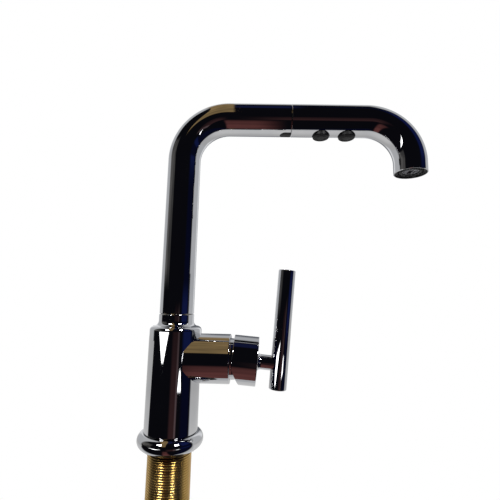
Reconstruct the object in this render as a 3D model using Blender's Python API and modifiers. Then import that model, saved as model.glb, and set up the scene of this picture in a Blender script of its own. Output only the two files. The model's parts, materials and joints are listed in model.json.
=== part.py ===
"""Single-lever kitchen mixer tap with an L-shaped swivel spout and a pull-out spray head.

Metres, +Z up.  The origin is where the tap's axis meets the worktop: the base gasket's underside is
at z = 0, the spout rises along Z, its arm and the lever point along +X.
"""
import math

import bmesh
import bpy
from mathutils import Matrix, Vector

# ---------------------------------------------------------------------------------------------
# Driving dimensions
# ---------------------------------------------------------------------------------------------
GAP = 0.0003                  # between pieces that touch
RUNNING = 0.0008              # between the handle's cup and the ball it turns round

# spout: riser, corner and arm
TUBE_R = 0.0140
TUBE_WALL = 0.0015
ARM_Z = 0.2749                # height of the arm's axis
CORNER_R = 0.0395             # centreline radius of the spout's corner
SEAM_X = 0.0937               # joint between the arm and the spray head
NOTCH_LENGTH = 0.0098
NOTCH_WIDTH = 0.0090

# spray head
HEAD_BEND_R = 0.0384
HEAD_DROP = 0.0091            # straight length below the head's bend
HEAD_WALL = 0.0015
MOUTH_LIP = 0.0007
MOUTH_DEPTH = 0.0070
BUTTON_R = 0.0073
BUTTON_PROUD = 0.0021         # how far a button stands out below the head
BUTTON_TRAVEL = 0.0015
SPRAY_BUTTON_AT = 0.0266      # from the seam to the middle of the first button
BUTTON_PITCH = 0.0227
BUTTON_TO_BEND = 0.0168
SHELL_CLEARANCE = 0.0004      # round the buttons and round the insert

# side stub and ball: the ball's size sets the cartridge's bore and the room above it
PIVOT_Z = 0.0676
BALL_R = 0.0162
BALL_WALL = 0.0014
BALL_LIP = 0.0050             # width of the ball's front, round the mouth for the stem
STUB_WALL = 0.0030

# mixer body
BODY_STEP = 0.0070            # how far the barrel stands out past the spout's tube
BODY_WALL = 0.0036
SHOULDER_RISE = 0.0057        # from the top of the ball to where the shoulder begins
SHOULDER_R = 0.0033
NECK_PROUD = 0.00025          # of the neck past the tube that stands on it
NECK_FILLET = 0.0042
NECK_HEIGHT = 0.0128
NECK_WALL = 0.00145
LEDGE_DROP = 0.0035           # below the ball's top: the waterway block is clamped up to it
LEDGE_STEP = 0.0012
CLIP_ROOM = 0.0060            # height of the swivel clip's chamber

# handle
SEAT_PROUD = 0.0028           # how far the cartridge's seat stands out of the body's bore
CARTRIDGE_LENGTH = 0.0226     # from that seat to the housing's front
STUB_SHORT = 0.0008           # the stub ends this far short of the pivot
HUB_WALL = 0.0031             # of the handle's hub round the ball
HUB_BACK = 0.0011             # distances along the handle's own axis, from the pivot
HUB_FRONT = 0.0212
HUB_RELIEF_START = 0.0044     # below the axis, where the sloping relief leaves the hub's back face
HUB_RELIEF_ANGLE = math.radians(25.8)
BAR_DISTANCE = 0.03935
BAR_R = 0.0071
BAR_UP = 0.0762
BAR_DOWN = 0.0199
GRIP_NECK_R = 0.0059
GRIP_FILLET = 0.0030
REST_TILT = math.radians(4.35)  # the lever stands this far open

# base and fixing
FLANGE_STEP = 0.00475         # how far it stands out past the barrel
FLANGE_HEIGHT = 0.0120
FLANGE_ROUND = 0.0060
GASKET_THICK = 0.0020
GASKET_GROOVE = 0.0035        # width of flange left outside the gasket
FLANGE_COLLAR = 0.0010        # and inside it
SHANK_WALL = 0.0021
SHANK_BOTTOM = -0.0690
WORKTOP = 0.0500              # thickness that the washers are drawn up against
FIBRE_THICK = 0.0025
STEEL_THICK = 0.0020
WASHER_WIDTH = 0.0089
NUT_WIDTH = 0.0094
NUT_HEIGHT = 0.0100

# water
HOSE_R = 0.0063
HOSE_BOTTOM = -0.0740
PIPE_R = 0.0040
PIPE_BORE_R = 0.0028
PIPE_BOTTOM = -0.0720
PORT_R = 0.0020
BLOCK_HOSE_R = 0.0075

# cartridge, along X
SEAL_PROUD = 0.0012           # of the seals past the housing's back
HOUSING_WALL = 0.0033
NOSE_STEP = 0.0025
NOSE_WALL = 0.0017
NOSE_LENGTH = 0.0098
SEAT_STEP = 0.0018            # the seat's boss is this much slimmer than the housing
DISC_THROW = 0.0030           # room round the moving disc
STEM_R = 0.0035
STEM_TIP = 0.0124             # from the pivot back to the middle of the stem's ball tip
STEM_PIN_R = 0.0015
DISC_OFFSET = 0.00255         # the tip's socket sits this far from the moving disc's middle

# swivel
BUSH_WALL = 0.0013
POST_WALL = 0.0018
POST_IN_TUBE = 0.0157         # length of post above the neck, in the tube's foot
GROOVE_DEPTH = 0.0008         # round the post, for its clip
BUSH_FLANGE = 0.0014
BUSH_LIP = 0.0005             # how far the upper bush's flange reaches past its barrel
CLIP_THICK = 0.0016
WASHER_THICK = 0.0011

ROUND = 28                    # sides of the large round pieces
MEDIUM = 20
SMALL = 12

# Worked out from the values above
SPRAY_BUTTON_X = SEAM_X + SPRAY_BUTTON_AT
PAUSE_BUTTON_X = SPRAY_BUTTON_X + BUTTON_PITCH
HEAD_BEND_X = PAUSE_BUTTON_X + BUTTON_TO_BEND
BALL_MOUTH_R = BALL_R - BALL_LIP
STUB_BORE_R = BALL_R + GAP
STUB_R = STUB_BORE_R + STUB_WALL
HUB_R = BALL_R + HUB_WALL
BODY_R = TUBE_R + BODY_STEP
BODY_WALL_R = BODY_R - BODY_WALL
BODY_TOP = PIVOT_Z + BALL_R + SHOULDER_RISE
NECK_R = TUBE_R + NECK_PROUD
NECK_BORE_R = NECK_R - NECK_WALL
NECK_TOP = BODY_TOP + NECK_HEIGHT
LEDGE_Z = PIVOT_Z + BALL_R - LEDGE_DROP
LEDGE_R = BODY_WALL_R - LEDGE_STEP
CEILING_Z = LEDGE_Z + CLIP_ROOM
FLANGE_R = BODY_R + FLANGE_STEP
SHANK_R = BODY_WALL_R - GAP
SHANK_BORE_R = SHANK_R - SHANK_WALL
WASHER_R = SHANK_R + WASHER_WIDTH
NUT_R = SHANK_R + NUT_WIDTH
HOUSING_R = BALL_R - BALL_WALL - 0.0008
HOUSING_NOSE_R = HOUSING_R - NOSE_STEP
HOUSING_BORE_R = HOUSING_NOSE_R - NOSE_WALL
SEAT_R = HOUSING_R - SEAT_STEP
DISC_R = HOUSING_BORE_R - DISC_THROW
SEAT_X = BODY_WALL_R + SEAT_PROUD
HOUSING_BACK = SEAT_X + SEAL_PROUD
HOUSING_FRONT = SEAT_X + CARTRIDGE_LENGTH
HOUSING_STEP_X = HOUSING_FRONT - NOSE_LENGTH
PIVOT_X = HOUSING_FRONT + 0.0036
STUB_END_X = PIVOT_X - STUB_SHORT
BLOCK_BOTTOM = PIVOT_Z - BALL_R + 0.0006
POST_R = NECK_BORE_R - GAP - BUSH_WALL
POST_BORE_R = POST_R - POST_WALL
POST_BOTTOM = LEDGE_Z + 0.0012
POST_TOP = NECK_TOP + POST_IN_TUBE
PIVOT = Vector((PIVOT_X, 0.0, PIVOT_Z))
TUBE_BORE_R = TUBE_R - TUBE_WALL
HEAD_BORE_R = TUBE_R - HEAD_WALL
INSERT_R = HEAD_BORE_R - SHELL_CLEARANCE
OUTLET_X = HEAD_BEND_X + HEAD_BEND_R
OUTLET_Z = ARM_Z - HEAD_BEND_R - HEAD_DROP
FLANGE_SEAT = FLANGE_HEIGHT - 0.0004
BODY_BOTTOM = FLANGE_SEAT + GAP
SPOUT_FOOT = NECK_TOP + 0.0005
BUSH_SEAT = NECK_TOP + 0.0002 - BUSH_FLANGE
PIPE_RING_R = SHANK_BORE_R - GAP - PIPE_R
INLET_Y = 0.0060
INLET_X = math.sqrt(PIPE_RING_R ** 2 - INLET_Y ** 2)
SEAT_PORTS = ((-INLET_Y, -0.0036), (INLET_Y, -0.0036), (0.0, 0.0064))
BUTTON_FACE_Z = ARM_Z - TUBE_R - BUTTON_PROUD
PITCH_OF_LEVER = math.pi / 2 + REST_TILT

# ---------------------------------------------------------------------------------------------
# The scene's collections and the small tools that the sections share
# ---------------------------------------------------------------------------------------------
for old in list(bpy.data.objects):
    bpy.data.objects.remove(old, do_unlink=True)

faucet = bpy.data.collections.new("pull_out_kitchen_faucet")
cutters = bpy.data.collections.new("cutters")
for collection in (faucet, cutters):
    bpy.context.scene.collection.children.link(collection)


def finish(name, colour, metallic, roughness):
    """A plain material for one kind of surface."""
    material = bpy.data.materials.new(name)
    material.use_nodes = True
    shader = material.node_tree.nodes["Principled BSDF"]
    shader.inputs["Base Color"].default_value = (*colour, 1.0)
    shader.inputs["Metallic"].default_value = metallic
    shader.inputs["Roughness"].default_value = roughness
    return material


FINISHES = {
    "chrome": ((0.72, 0.73, 0.76), 1.0, 0.06),
    "brass": ((0.78, 0.58, 0.24), 1.0, 0.28),
    "copper": ((0.80, 0.45, 0.30), 1.0, 0.30),
    "steel": ((0.60, 0.60, 0.62), 1.0, 0.32),
    "rubber": ((0.02, 0.02, 0.02), 0.0, 0.80),
    "black_plastic": ((0.015, 0.015, 0.017), 0.0, 0.45),
    "grey_plastic": ((0.36, 0.37, 0.39), 0.0, 0.45),
    "white_nylon": ((0.80, 0.79, 0.75), 0.0, 0.50),
    "ceramic": ((0.86, 0.85, 0.82), 0.0, 0.25),
    "braid": ((0.33, 0.34, 0.36), 0.6, 0.45),
}


def joint_axis(name, location, parent=None):
    """An empty on a joint's axis, which the moving pieces are parented to."""
    empty = bpy.data.objects.new(name, None)
    faucet.objects.link(empty)
    empty.empty_display_size = 0.01
    empty.location = location
    attach(empty, parent)
    return empty


def attach(piece, parent):
    """Parent a piece without moving it."""
    if parent is not None:
        bpy.context.view_layer.update()
        piece.parent = parent
        piece.matrix_parent_inverse = parent.matrix_world.inverted()


def add_piece(name, mesh, kind, parent=None, location=(0, 0, 0), rotation=(0, 0, 0)):
    """Put a mesh into the faucet as one named piece with a material of its own."""
    piece = bpy.data.objects.new(name, mesh)
    faucet.objects.link(piece)
    piece.location = location
    piece.rotation_euler = rotation
    mesh.materials.clear()
    mesh.materials.append(finish(name + "_" + kind, *FINISHES[kind]))
    attach(piece, parent)
    return piece


def profile_mesh(name, outline, closed):
    """The outline (radius, height) of a turned piece, as edges for a Screw modifier."""
    mesh = bpy.data.meshes.new(name)
    points = [(radius, 0.0, height) for radius, height in outline]
    edges = [(i, i + 1) for i in range(len(points) - 1)]
    if closed:
        edges.append((len(points) - 1, 0))
    mesh.from_pydata(points, edges, [])
    return mesh


def spin(piece, sides):
    """Turn an outline round the piece's own Z axis."""
    screw = piece.modifiers.new("turned", "SCREW")
    screw.steps = sides
    screw.render_steps = sides
    screw.use_merge_vertices = True
    screw.merge_threshold = 0.00001
    screw.use_smooth_shade = True


ALONG_X = (0.0, math.pi / 2, 0.0)


def turned(name, outline, kind, sides=ROUND, closed=True, **placing):
    """A turned piece.  The outline runs down its outer side, then back up its bore."""
    piece = add_piece(name, profile_mesh(name, outline, closed), kind, **placing)
    spin(piece, sides)
    return piece


def ring(outer, inner, top, bottom):
    """Outline of a plain ring."""
    return [(outer, top), (outer, bottom), (inner, bottom), (inner, top)]


def disc(radius, top, bottom):
    """Outline of a plain solid disc or rod, from axis to axis."""
    return [(0.0, top), (radius, top), (radius, bottom), (0.0, bottom)]


def arc(centre, radius, start, end, steps):
    """Points on an arc of an outline, angles in degrees from +radius towards +height."""
    angles = [math.radians(start + (end - start) * i / steps) for i in range(steps + 1)]
    return [(centre[0] + radius * math.cos(a), centre[1] + radius * math.sin(a)) for a in angles]


def as_cutter(tool):
    """Keep a cutting tool out of the model."""
    for collection in list(tool.users_collection):
        collection.objects.unlink(tool)
    cutters.objects.link(tool)
    tool.hide_render = True
    tool.display_type = "WIRE"
    return tool


def rod_cutter(name, radius, start, end, sides=SMALL):
    """A round cutting tool between two points."""
    start, end = Vector(start), Vector(end)
    length = (end - start).length
    tool = bpy.data.objects.new(name, profile_mesh(name, disc(radius, length, 0.0), False))
    cutters.objects.link(tool)
    tool.rotation_euler = (end - start).to_track_quat("Z", "Y").to_euler()
    tool.location = start
    spin(tool, sides)
    return as_cutter(tool)


def box_cutter(name, low, high, rotation=(0, 0, 0), about=(0, 0, 0)):
    """A rectangular cutting tool.  Its corners are given from the point it is turned about."""
    bpy.ops.mesh.primitive_cube_add(size=1.0)
    tool = bpy.context.object
    tool.name = name
    size = Vector(high) - Vector(low)
    middle = (Vector(high) + Vector(low)) / 2
    tool.data.transform(Matrix.Translation(middle) @ Matrix.Diagonal((*size, 1.0)))
    tool.rotation_euler = rotation
    tool.location = about
    return as_cutter(tool)


def slot_cutter(name, end_x, start_x, width, low_z, high_z):
    """A cutting tool for a slot along X with a round inner end, open at end_x."""
    half = width / 2
    outline = [(end_x, -half), (end_x, half)]
    middle = start_x + half
    for step in range(9):
        angle = math.pi / 2 + math.pi * step / 8
        outline.append((middle + half * math.cos(angle), half * math.sin(angle)))
    tool = flat_extrusion(name, outline, high_z - low_z)
    tool.location = (0.0, 0.0, (low_z + high_z) / 2)
    return as_cutter(tool)


def flat_extrusion(name, outline, thickness):
    """A flat outline in the XY plane given a thickness, as a mesh."""
    curve = bpy.data.curves.new(name, "CURVE")
    curve.dimensions = "2D"
    curve.fill_mode = "BOTH"
    curve.extrude = thickness / 2
    line = curve.splines.new("POLY")
    line.points.add(len(outline) - 1)
    for point, (x, y) in zip(line.points, outline):
        point.co = (x, y, 0.0, 1.0)
    line.use_cyclic_u = True
    return mesh_of_curve(curve, name)


def mesh_of_curve(curve, name):
    """Make a curve a mesh with its caps welded on."""
    drawn = bpy.data.objects.new(name + "_curve", curve)
    bpy.context.scene.collection.objects.link(drawn)
    bpy.context.view_layer.update()
    seen = drawn.evaluated_get(bpy.context.evaluated_depsgraph_get())
    mesh = bpy.data.meshes.new_from_object(seen)
    mesh.transform(drawn.matrix_world)
    bpy.data.objects.remove(drawn, do_unlink=True)
    weld_mesh(mesh)
    made = bpy.data.objects.new(name, mesh)
    bpy.context.scene.collection.objects.link(made)
    return made


def weld_mesh(mesh):
    """Join the loose caps that a curve leaves."""
    cage = bmesh.new()
    cage.from_mesh(mesh)
    bmesh.ops.remove_doubles(cage, verts=cage.verts, dist=0.00001)
    cage.to_mesh(mesh)
    cage.free()


def bent_route(start, corner_radius, corner, end, steps):
    """Points from start, round one right-angled corner in the XZ plane, to end."""
    start, corner, end = Vector(start), Vector(corner), Vector(end)
    first = (start - corner).normalized()
    second = (end - corner).normalized()
    centre = corner + (first + second) * corner_radius
    route = [start]
    for step in range(steps + 1):
        angle = math.pi / 2 * step / steps
        route.append(centre - second * corner_radius * math.cos(angle)
                     - first * corner_radius * math.sin(angle))
    route.append(end)
    return route


def pipe_curve(name, route, radius, resolution, capped):
    """A round tube along a route, sides = 4 + 2 x resolution."""
    curve = bpy.data.curves.new(name, "CURVE")
    curve.dimensions = "3D"
    curve.bevel_depth = radius
    curve.bevel_resolution = resolution
    curve.use_fill_caps = capped
    line = curve.splines.new("POLY")
    line.points.add(len(route) - 1)
    for point, place in zip(line.points, route):
        point.co = (*place, 1.0)
    return curve


def pipe(name, route, radius, wall, kind, resolution=12, parent=None):
    """A bent pipe of even wall, as an open surface thickened inwards."""
    drawn = mesh_of_curve(pipe_curve(name, route, radius, resolution, False), name + "_skin")
    piece = add_piece(name, drawn.data, kind, parent=parent)
    bpy.data.objects.remove(drawn, do_unlink=True)
    piece.data.shade_smooth()
    skin = piece.modifiers.new("wall", "SOLIDIFY")
    skin.thickness = wall
    skin.offset = -1.0
    skin.use_even_offset = True
    skin.use_rim = True
    return piece


def boolean(piece, tool, operation="DIFFERENCE"):
    """Cut a piece with a tool, or join the tool to it."""
    step = piece.modifiers.new(tool.name, "BOOLEAN")
    step.operation = operation
    step.object = tool
    step.solver = "EXACT"
    return piece


# ---------------------------------------------------------------------------------------------
# Joint axes
# ---------------------------------------------------------------------------------------------
base_axis = joint_axis("base_axis", (0.0, 0.0, 0.0))
temperature_axis = joint_axis("temperature_axis", PIVOT, base_axis)
lever_axis = joint_axis("lever_axis", PIVOT, temperature_axis)
disc_axis = joint_axis("disc_axis", PIVOT, temperature_axis)
spout_axis = joint_axis("spout_axis", (0.0, 0.0, SPOUT_FOOT), base_axis)
head_axis = joint_axis("head_axis", (SEAM_X, 0.0, ARM_Z), spout_axis)
spray_button_axis = joint_axis("spray_button_axis", (SPRAY_BUTTON_X, 0.0, ARM_Z), head_axis)
pause_button_axis = joint_axis("pause_button_axis", (PAUSE_BUTTON_X, 0.0, ARM_Z), head_axis)
CARTRIDGE = {"location": (0.0, 0.0, PIVOT_Z), "rotation": ALONG_X, "parent": base_axis}
LEVER = {"location": PIVOT, "rotation": (0.0, PITCH_OF_LEVER, 0.0), "parent": lever_axis}


# ---------------------------------------------------------------------------------------------
# Base: body, flange, shank and what clamps the tap to the worktop
# ---------------------------------------------------------------------------------------------
def mixer_body():
    """Body with its shoulder, neck and side stub, bored for the waterway and the cartridge."""
    shoulder = (BODY_R - SHOULDER_R, BODY_TOP)
    fillet = (NECK_R + NECK_FILLET, BODY_TOP + SHOULDER_R + NECK_FILLET)
    outline = [(0.0, NECK_TOP), (NECK_R - 0.0004, NECK_TOP), (NECK_R, NECK_TOP - 0.0004)]
    outline += arc(fillet, NECK_FILLET, 180, 270, 4)[:-1]
    outline += arc(shoulder, SHOULDER_R, 90, 0, 3)
    outline += [(BODY_R, BODY_BOTTOM), (0.0, BODY_BOTTOM)]
    body = turned("mixer_body", outline, "chrome", ROUND, False, parent=base_axis)
    stub = rod_cutter("stub", STUB_R, (BODY_R / 2, 0, PIVOT_Z), (STUB_END_X, 0, PIVOT_Z), ROUND)
    boolean(body, stub, "UNION")
    recess = BUSH_SEAT - GAP
    outline = [
        (0.0, NECK_TOP + 0.01),
        (NECK_BORE_R + BUSH_LIP, NECK_TOP + 0.01),
        (NECK_BORE_R + BUSH_LIP, recess),
        (NECK_BORE_R, recess),
        (NECK_BORE_R, CEILING_Z),
        (LEDGE_R, CEILING_Z),
        (LEDGE_R, LEDGE_Z),
        (BODY_WALL_R, LEDGE_Z),
        (BODY_WALL_R, BODY_BOTTOM - 0.01),
        (0.0, BODY_BOTTOM - 0.01),
    ]
    inside = bpy.data.objects.new("body_inside", profile_mesh("body_inside", outline, False))
    spin(inside, ROUND)
    boolean(body, as_cutter(inside))
    well = rod_cutter("stub_bore", STUB_BORE_R, (LEDGE_R / 2, 0, PIVOT_Z),
                      (STUB_END_X + 0.01, 0, PIVOT_Z), ROUND)
    return boolean(body, well)


def base_flange():
    """Rounded ring under the body, grooved below for its gasket."""
    section = (FLANGE_R - FLANGE_ROUND, FLANGE_HEIGHT - FLANGE_ROUND)
    rise = math.degrees(math.asin((FLANGE_SEAT - section[1]) / FLANGE_ROUND))
    foot = GASKET_THICK / 4
    groove_r = FLANGE_R - GASKET_GROOVE
    outline = [(BODY_R + 0.0009, FLANGE_SEAT)]
    outline += arc(section, FLANGE_ROUND, rise, -62, 7)[1:]
    outline += [
        (groove_r + 0.0005, foot),
        (groove_r, foot),
        (groove_r, GASKET_THICK + GAP),
        (SHANK_R + FLANGE_COLLAR, GASKET_THICK + GAP),
        (SHANK_R + FLANGE_COLLAR, foot),
        (SHANK_R + GAP, foot),
        (SHANK_R + GAP, FLANGE_SEAT),
    ]
    return turned("base_flange", outline, "chrome", parent=base_axis)


def base_gasket():
    """Flat rubber ring in the flange's groove."""
    outer = FLANGE_R - GASKET_GROOVE - GAP
    inner = SHANK_R + FLANGE_COLLAR + GAP
    return turned("base_gasket", ring(outer, inner, GASKET_THICK, 0.0), "rubber", MEDIUM,
                  parent=base_axis)


def threaded_shank():
    """Brass tube that screws up into the body and clamps the waterway block on its ledge."""
    top = BLOCK_BOTTOM - GAP
    outline = [
        (SHANK_R, top),
        (SHANK_R, SHANK_BOTTOM + 0.0010),
        (SHANK_R - 0.0010, SHANK_BOTTOM),
        (SHANK_BORE_R, SHANK_BOTTOM),
        (SHANK_BORE_R, top),
    ]
    return turned("threaded_shank", outline, "brass", parent=base_axis)


def deck_clamp():
    """Fibre washer, steel washer and hexagonal nut that pull the tap down on the worktop."""
    bore = SHANK_R + GAP
    top = -WORKTOP
    turned("fibre_washer", ring(WASHER_R, bore, top, top - FIBRE_THICK), "rubber", MEDIUM,
           parent=base_axis)
    top -= FIBRE_THICK + GAP
    turned("steel_washer", ring(WASHER_R, bore, top, top - STEEL_THICK), "steel", MEDIUM,
           parent=base_axis)
    top -= STEEL_THICK + GAP
    nut = turned("mounting_nut", disc(NUT_R, top, top - NUT_HEIGHT), "brass", 6, False,
                 parent=base_axis)
    hole = rod_cutter("nut_hole", bore, (0, 0, top - NUT_HEIGHT - 0.001), (0, 0, top + 0.001),
                      ROUND)
    return boolean(nut, hole)


# ---------------------------------------------------------------------------------------------
# Water: inlet pipes, waterway block
# ---------------------------------------------------------------------------------------------
PIPES = {
    "hot_inlet_pipe": (INLET_X, -INLET_Y),
    "cold_inlet_pipe": (INLET_X, INLET_Y),
    "mixed_outlet_pipe": (0.0, PIPE_RING_R),
}
PIPE_SOCKET = 0.0050


def water_pipes():
    """Copper pipes from the block's underside down through the shank."""
    for name, (x, y) in PIPES.items():
        top = BLOCK_BOTTOM + PIPE_SOCKET - GAP
        turned(name, ring(PIPE_R, PIPE_BORE_R, top, PIPE_BOTTOM), "copper", SMALL,
               location=(x, y, 0.0), parent=base_axis)


def waterway_block():
    """Brass block round the hose, drilled from each pipe to the seat that the cartridge seals on."""
    block = turned("waterway_block",
                   ring(BODY_WALL_R - 0.0004, BLOCK_HOSE_R, LEDGE_Z - GAP, BLOCK_BOTTOM), "brass",
                   parent=base_axis)
    boss = rod_cutter("seat_boss", SEAT_R, (BLOCK_HOSE_R + 0.002, 0, PIVOT_Z),
                      (SEAT_X, 0, PIVOT_Z), MEDIUM)
    boolean(block, boss, "UNION")
    for (name, (x, y)), (port_y, rise) in zip(PIPES.items(), SEAT_PORTS):
        level = PIVOT_Z + rise
        socket = rod_cutter(name + "_socket", PIPE_R + GAP, (x, y, BLOCK_BOTTOM - 0.002),
                            (x, y, BLOCK_BOTTOM + PIPE_SOCKET))
        riser = rod_cutter(name + "_drilling", PIPE_BORE_R, (x, y, BLOCK_BOTTOM),
                           (x, y, level + PORT_R / 2), 12)
        inner = (x, y * 1.14 if x == 0.0 else y, level)
        port = rod_cutter(name + "_port", PORT_R, (SEAT_X + 0.002, port_y, level), inner, 12)
        for tool in (socket, riser, port):
            boolean(block, tool)
    return block


# ---------------------------------------------------------------------------------------------
# Cartridge: housing, discs, the part that turns for temperature, and its nut and ball
# ---------------------------------------------------------------------------------------------
SEAL_R = 0.0031
SEAL_RECESS = 0.0018
FIXED_DISC_BACK = HOUSING_BACK + HOUSING_WALL + GAP
FIXED_DISC_THICK = 0.0032
MOVING_DISC_BACK = FIXED_DISC_BACK + FIXED_DISC_THICK + GAP
MOVING_DISC_THICK = 0.0030
CARRIER_BACK = MOVING_DISC_BACK + MOVING_DISC_THICK + GAP
CARRIER_FRONT = HOUSING_STEP_X + 0.0031
CARRIAGE_BACK = CARRIER_FRONT + 0.0006
CARRIAGE_HEAD_R = HOUSING_NOSE_R + 0.0007
CARRIAGE_SLOT = 0.0066         # half the height that the stem needs to tilt in
SOCKET_R = 0.0029              # round the stem's ball tip, in the disc's carrier
CARRIAGE_FRONT = PIVOT_X + 0.0034
NUT_BACK = HOUSING_STEP_X + GAP
NUT_FRONT = NUT_BACK + 0.0050


def cut_ports(piece, back, front, radius, prefix):
    """Drill the seat's three ports through a piece that stacks on it."""
    for number, (y, rise) in enumerate(SEAT_PORTS):
        tool = rod_cutter(f"{prefix}_{number}", radius, (back, y, PIVOT_Z + rise),
                          (front, y, PIVOT_Z + rise))
        boolean(piece, tool)


def cartridge_housing():
    """Nylon cup with a stepped nose, drilled through its floor for the three ports."""
    outline = [
        (0.0, HOUSING_BACK),
        (0.0, HOUSING_BACK + HOUSING_WALL),
        (HOUSING_BORE_R, HOUSING_BACK + HOUSING_WALL),
        (HOUSING_BORE_R, HOUSING_FRONT),
        (HOUSING_NOSE_R, HOUSING_FRONT),
        (HOUSING_NOSE_R, HOUSING_STEP_X),
        (HOUSING_R, HOUSING_STEP_X),
        (HOUSING_R, HOUSING_BACK),
    ]
    housing = turned("cartridge_housing", outline, "white_nylon", MEDIUM, True, **CARTRIDGE)
    through = HOUSING_BACK + HOUSING_WALL + 0.001
    cut_ports(housing, HOUSING_BACK - 0.001, through, PORT_R, "housing_port")
    cut_ports(housing, HOUSING_BACK - 0.001, HOUSING_BACK + SEAL_RECESS, SEAL_R + GAP,
              "seal_recess")
    return housing


def cartridge_seals():
    """A rubber ring between each of the seat's ports and the housing."""
    outline = ring(SEAL_R, PORT_R, HOUSING_BACK + SEAL_RECESS - GAP, SEAT_X + GAP)
    for name, (y, rise) in zip(("hot_seal", "cold_seal", "mixed_seal"), SEAT_PORTS):
        turned(name, outline, "rubber", SMALL, location=(0.0, y, PIVOT_Z + rise),
               rotation=ALONG_X, parent=base_axis)


def ceramic_discs():
    """The disc that stays and the smaller one that slides on it, with its carrier."""
    fixed = turned("fixed_disc", disc(HOUSING_BORE_R - 0.0004, FIXED_DISC_BACK + FIXED_DISC_THICK,
                                      FIXED_DISC_BACK), "ceramic", MEDIUM, False, **CARTRIDGE)
    cut_ports(fixed, FIXED_DISC_BACK - 0.001, MOVING_DISC_BACK, PORT_R, "disc_port")
    tip_rise = STEM_TIP * math.sin(REST_TILT)
    middle = PIVOT_Z + tip_rise - DISC_OFFSET
    slide = {"location": (0.0, 0.0, middle), "rotation": ALONG_X, "parent": disc_axis}
    turned("moving_disc", disc(DISC_R, MOVING_DISC_BACK + MOVING_DISC_THICK, MOVING_DISC_BACK),
           "ceramic", MEDIUM, False, **slide)
    carrier = turned("disc_carrier", disc(DISC_R, CARRIER_FRONT, CARRIER_BACK), "black_plastic",
                     MEDIUM, False, **slide)
    socket_back = PIVOT_X - STEM_TIP - SOCKET_R + GAP
    socket = rod_cutter("tip_socket", SOCKET_R, (socket_back, 0, PIVOT_Z + tip_rise),
                        (CARRIER_FRONT + 0.001, 0, PIVOT_Z + tip_rise), SMALL)
    return boolean(carrier, socket)


def cartridge_carriage():
    """Plastic piece that turns in the housing with the lever, slotted so the stem can tilt."""
    neck_r = HOUSING_BORE_R - GAP
    outline = [
        (0.0, CARRIAGE_FRONT),
        (CARRIAGE_HEAD_R, CARRIAGE_FRONT),
        (CARRIAGE_HEAD_R, HOUSING_FRONT + GAP),
        (neck_r, HOUSING_FRONT + GAP),
        (neck_r, CARRIAGE_BACK),
        (0.0, CARRIAGE_BACK),
    ]
    carriage = turned("cartridge_carriage", outline, "grey_plastic", MEDIUM, False,
                      location=(0.0, 0.0, PIVOT_Z), rotation=ALONG_X, parent=temperature_axis)
    slot = box_cutter("stem_slot", (CARRIAGE_BACK - 0.001, -STEM_R - GAP, -CARRIAGE_SLOT),
                      (CARRIAGE_FRONT + 0.001, STEM_R + GAP, CARRIAGE_SLOT),
                      about=(0, 0, PIVOT_Z))
    hole = rod_cutter("stem_pin_hole", STEM_PIN_R + GAP, (PIVOT_X, -0.02, PIVOT_Z),
                      (PIVOT_X, 0.02, PIVOT_Z), SMALL)
    boolean(carriage, slot)
    boolean(carriage, hole)
    reach = CARRIAGE_HEAD_R - 0.0012
    pin = turned("stem_pin", disc(STEM_PIN_R, reach, -reach), "steel", SMALL, False,
                 location=PIVOT, rotation=(math.pi / 2, 0, 0), parent=temperature_axis)
    return pin


def cartridge_nut_and_ball():
    """Brass nut that clamps the cartridge, and the chrome ball that hides it."""
    turned("cartridge_nut",
           ring(STUB_BORE_R - GAP, HOUSING_NOSE_R + GAP, NUT_FRONT, NUT_BACK), "brass",
           MEDIUM, **CARTRIDGE)
    inner_r = BALL_R - BALL_WALL
    mouth = math.degrees(math.acos(BALL_MOUTH_R / BALL_R))
    inner_mouth = math.degrees(math.acos(BALL_MOUTH_R / inner_r))
    outline = arc((0.0, PIVOT_X), BALL_R, mouth, 0, 4)
    outline += [(BALL_R, NUT_FRONT + GAP), (inner_r, NUT_FRONT + GAP)]
    outline += arc((0.0, PIVOT_X), inner_r, 0, inner_mouth, 4)
    turned("bonnet_ball", outline, "chrome", ROUND, **CARTRIDGE)


# ---------------------------------------------------------------------------------------------
# Lever: stem, cup-shaped hub with its neck, and the bar
# ---------------------------------------------------------------------------------------------
STEM_END = 0.0280
STEM_WAIST_R = 0.0018
STEM_BALL_R = 0.0023
STUD_R = 0.0020
STUD_BACK = STEM_END + 0.0013
STUD_END = BAR_DISTANCE + 0.0005
SET_SCREW_AT = 0.0262
SET_SCREW_R = 0.0015


def lever_stem():
    """Steel stem: ball tip in the disc's carrier, eye on the pin, shank up into the hub."""
    outline = [
        (0.0, STEM_END),
        (STEM_R, STEM_END),
        (STEM_R, -0.0050),
        (STEM_WAIST_R, -0.0072),
        (STEM_WAIST_R, -STEM_TIP + 0.0015),
    ]
    outline += arc((0.0, -STEM_TIP), STEM_BALL_R, 20, -90, 5)
    stem = turned("lever_stem", outline, "steel", MEDIUM, False, **LEVER)
    hole = rod_cutter("stem_eye", STEM_PIN_R + GAP, (PIVOT_X, -0.02, PIVOT_Z),
                      (PIVOT_X, 0.02, PIVOT_Z), SMALL)
    return boolean(stem, hole)


def lever_point(along, up):
    """A point given along the lever's own axis and up its bar."""
    turn = Matrix.Rotation(REST_TILT, 3, "Y")
    return PIVOT + turn @ Vector((along, 0.0, up))


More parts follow.
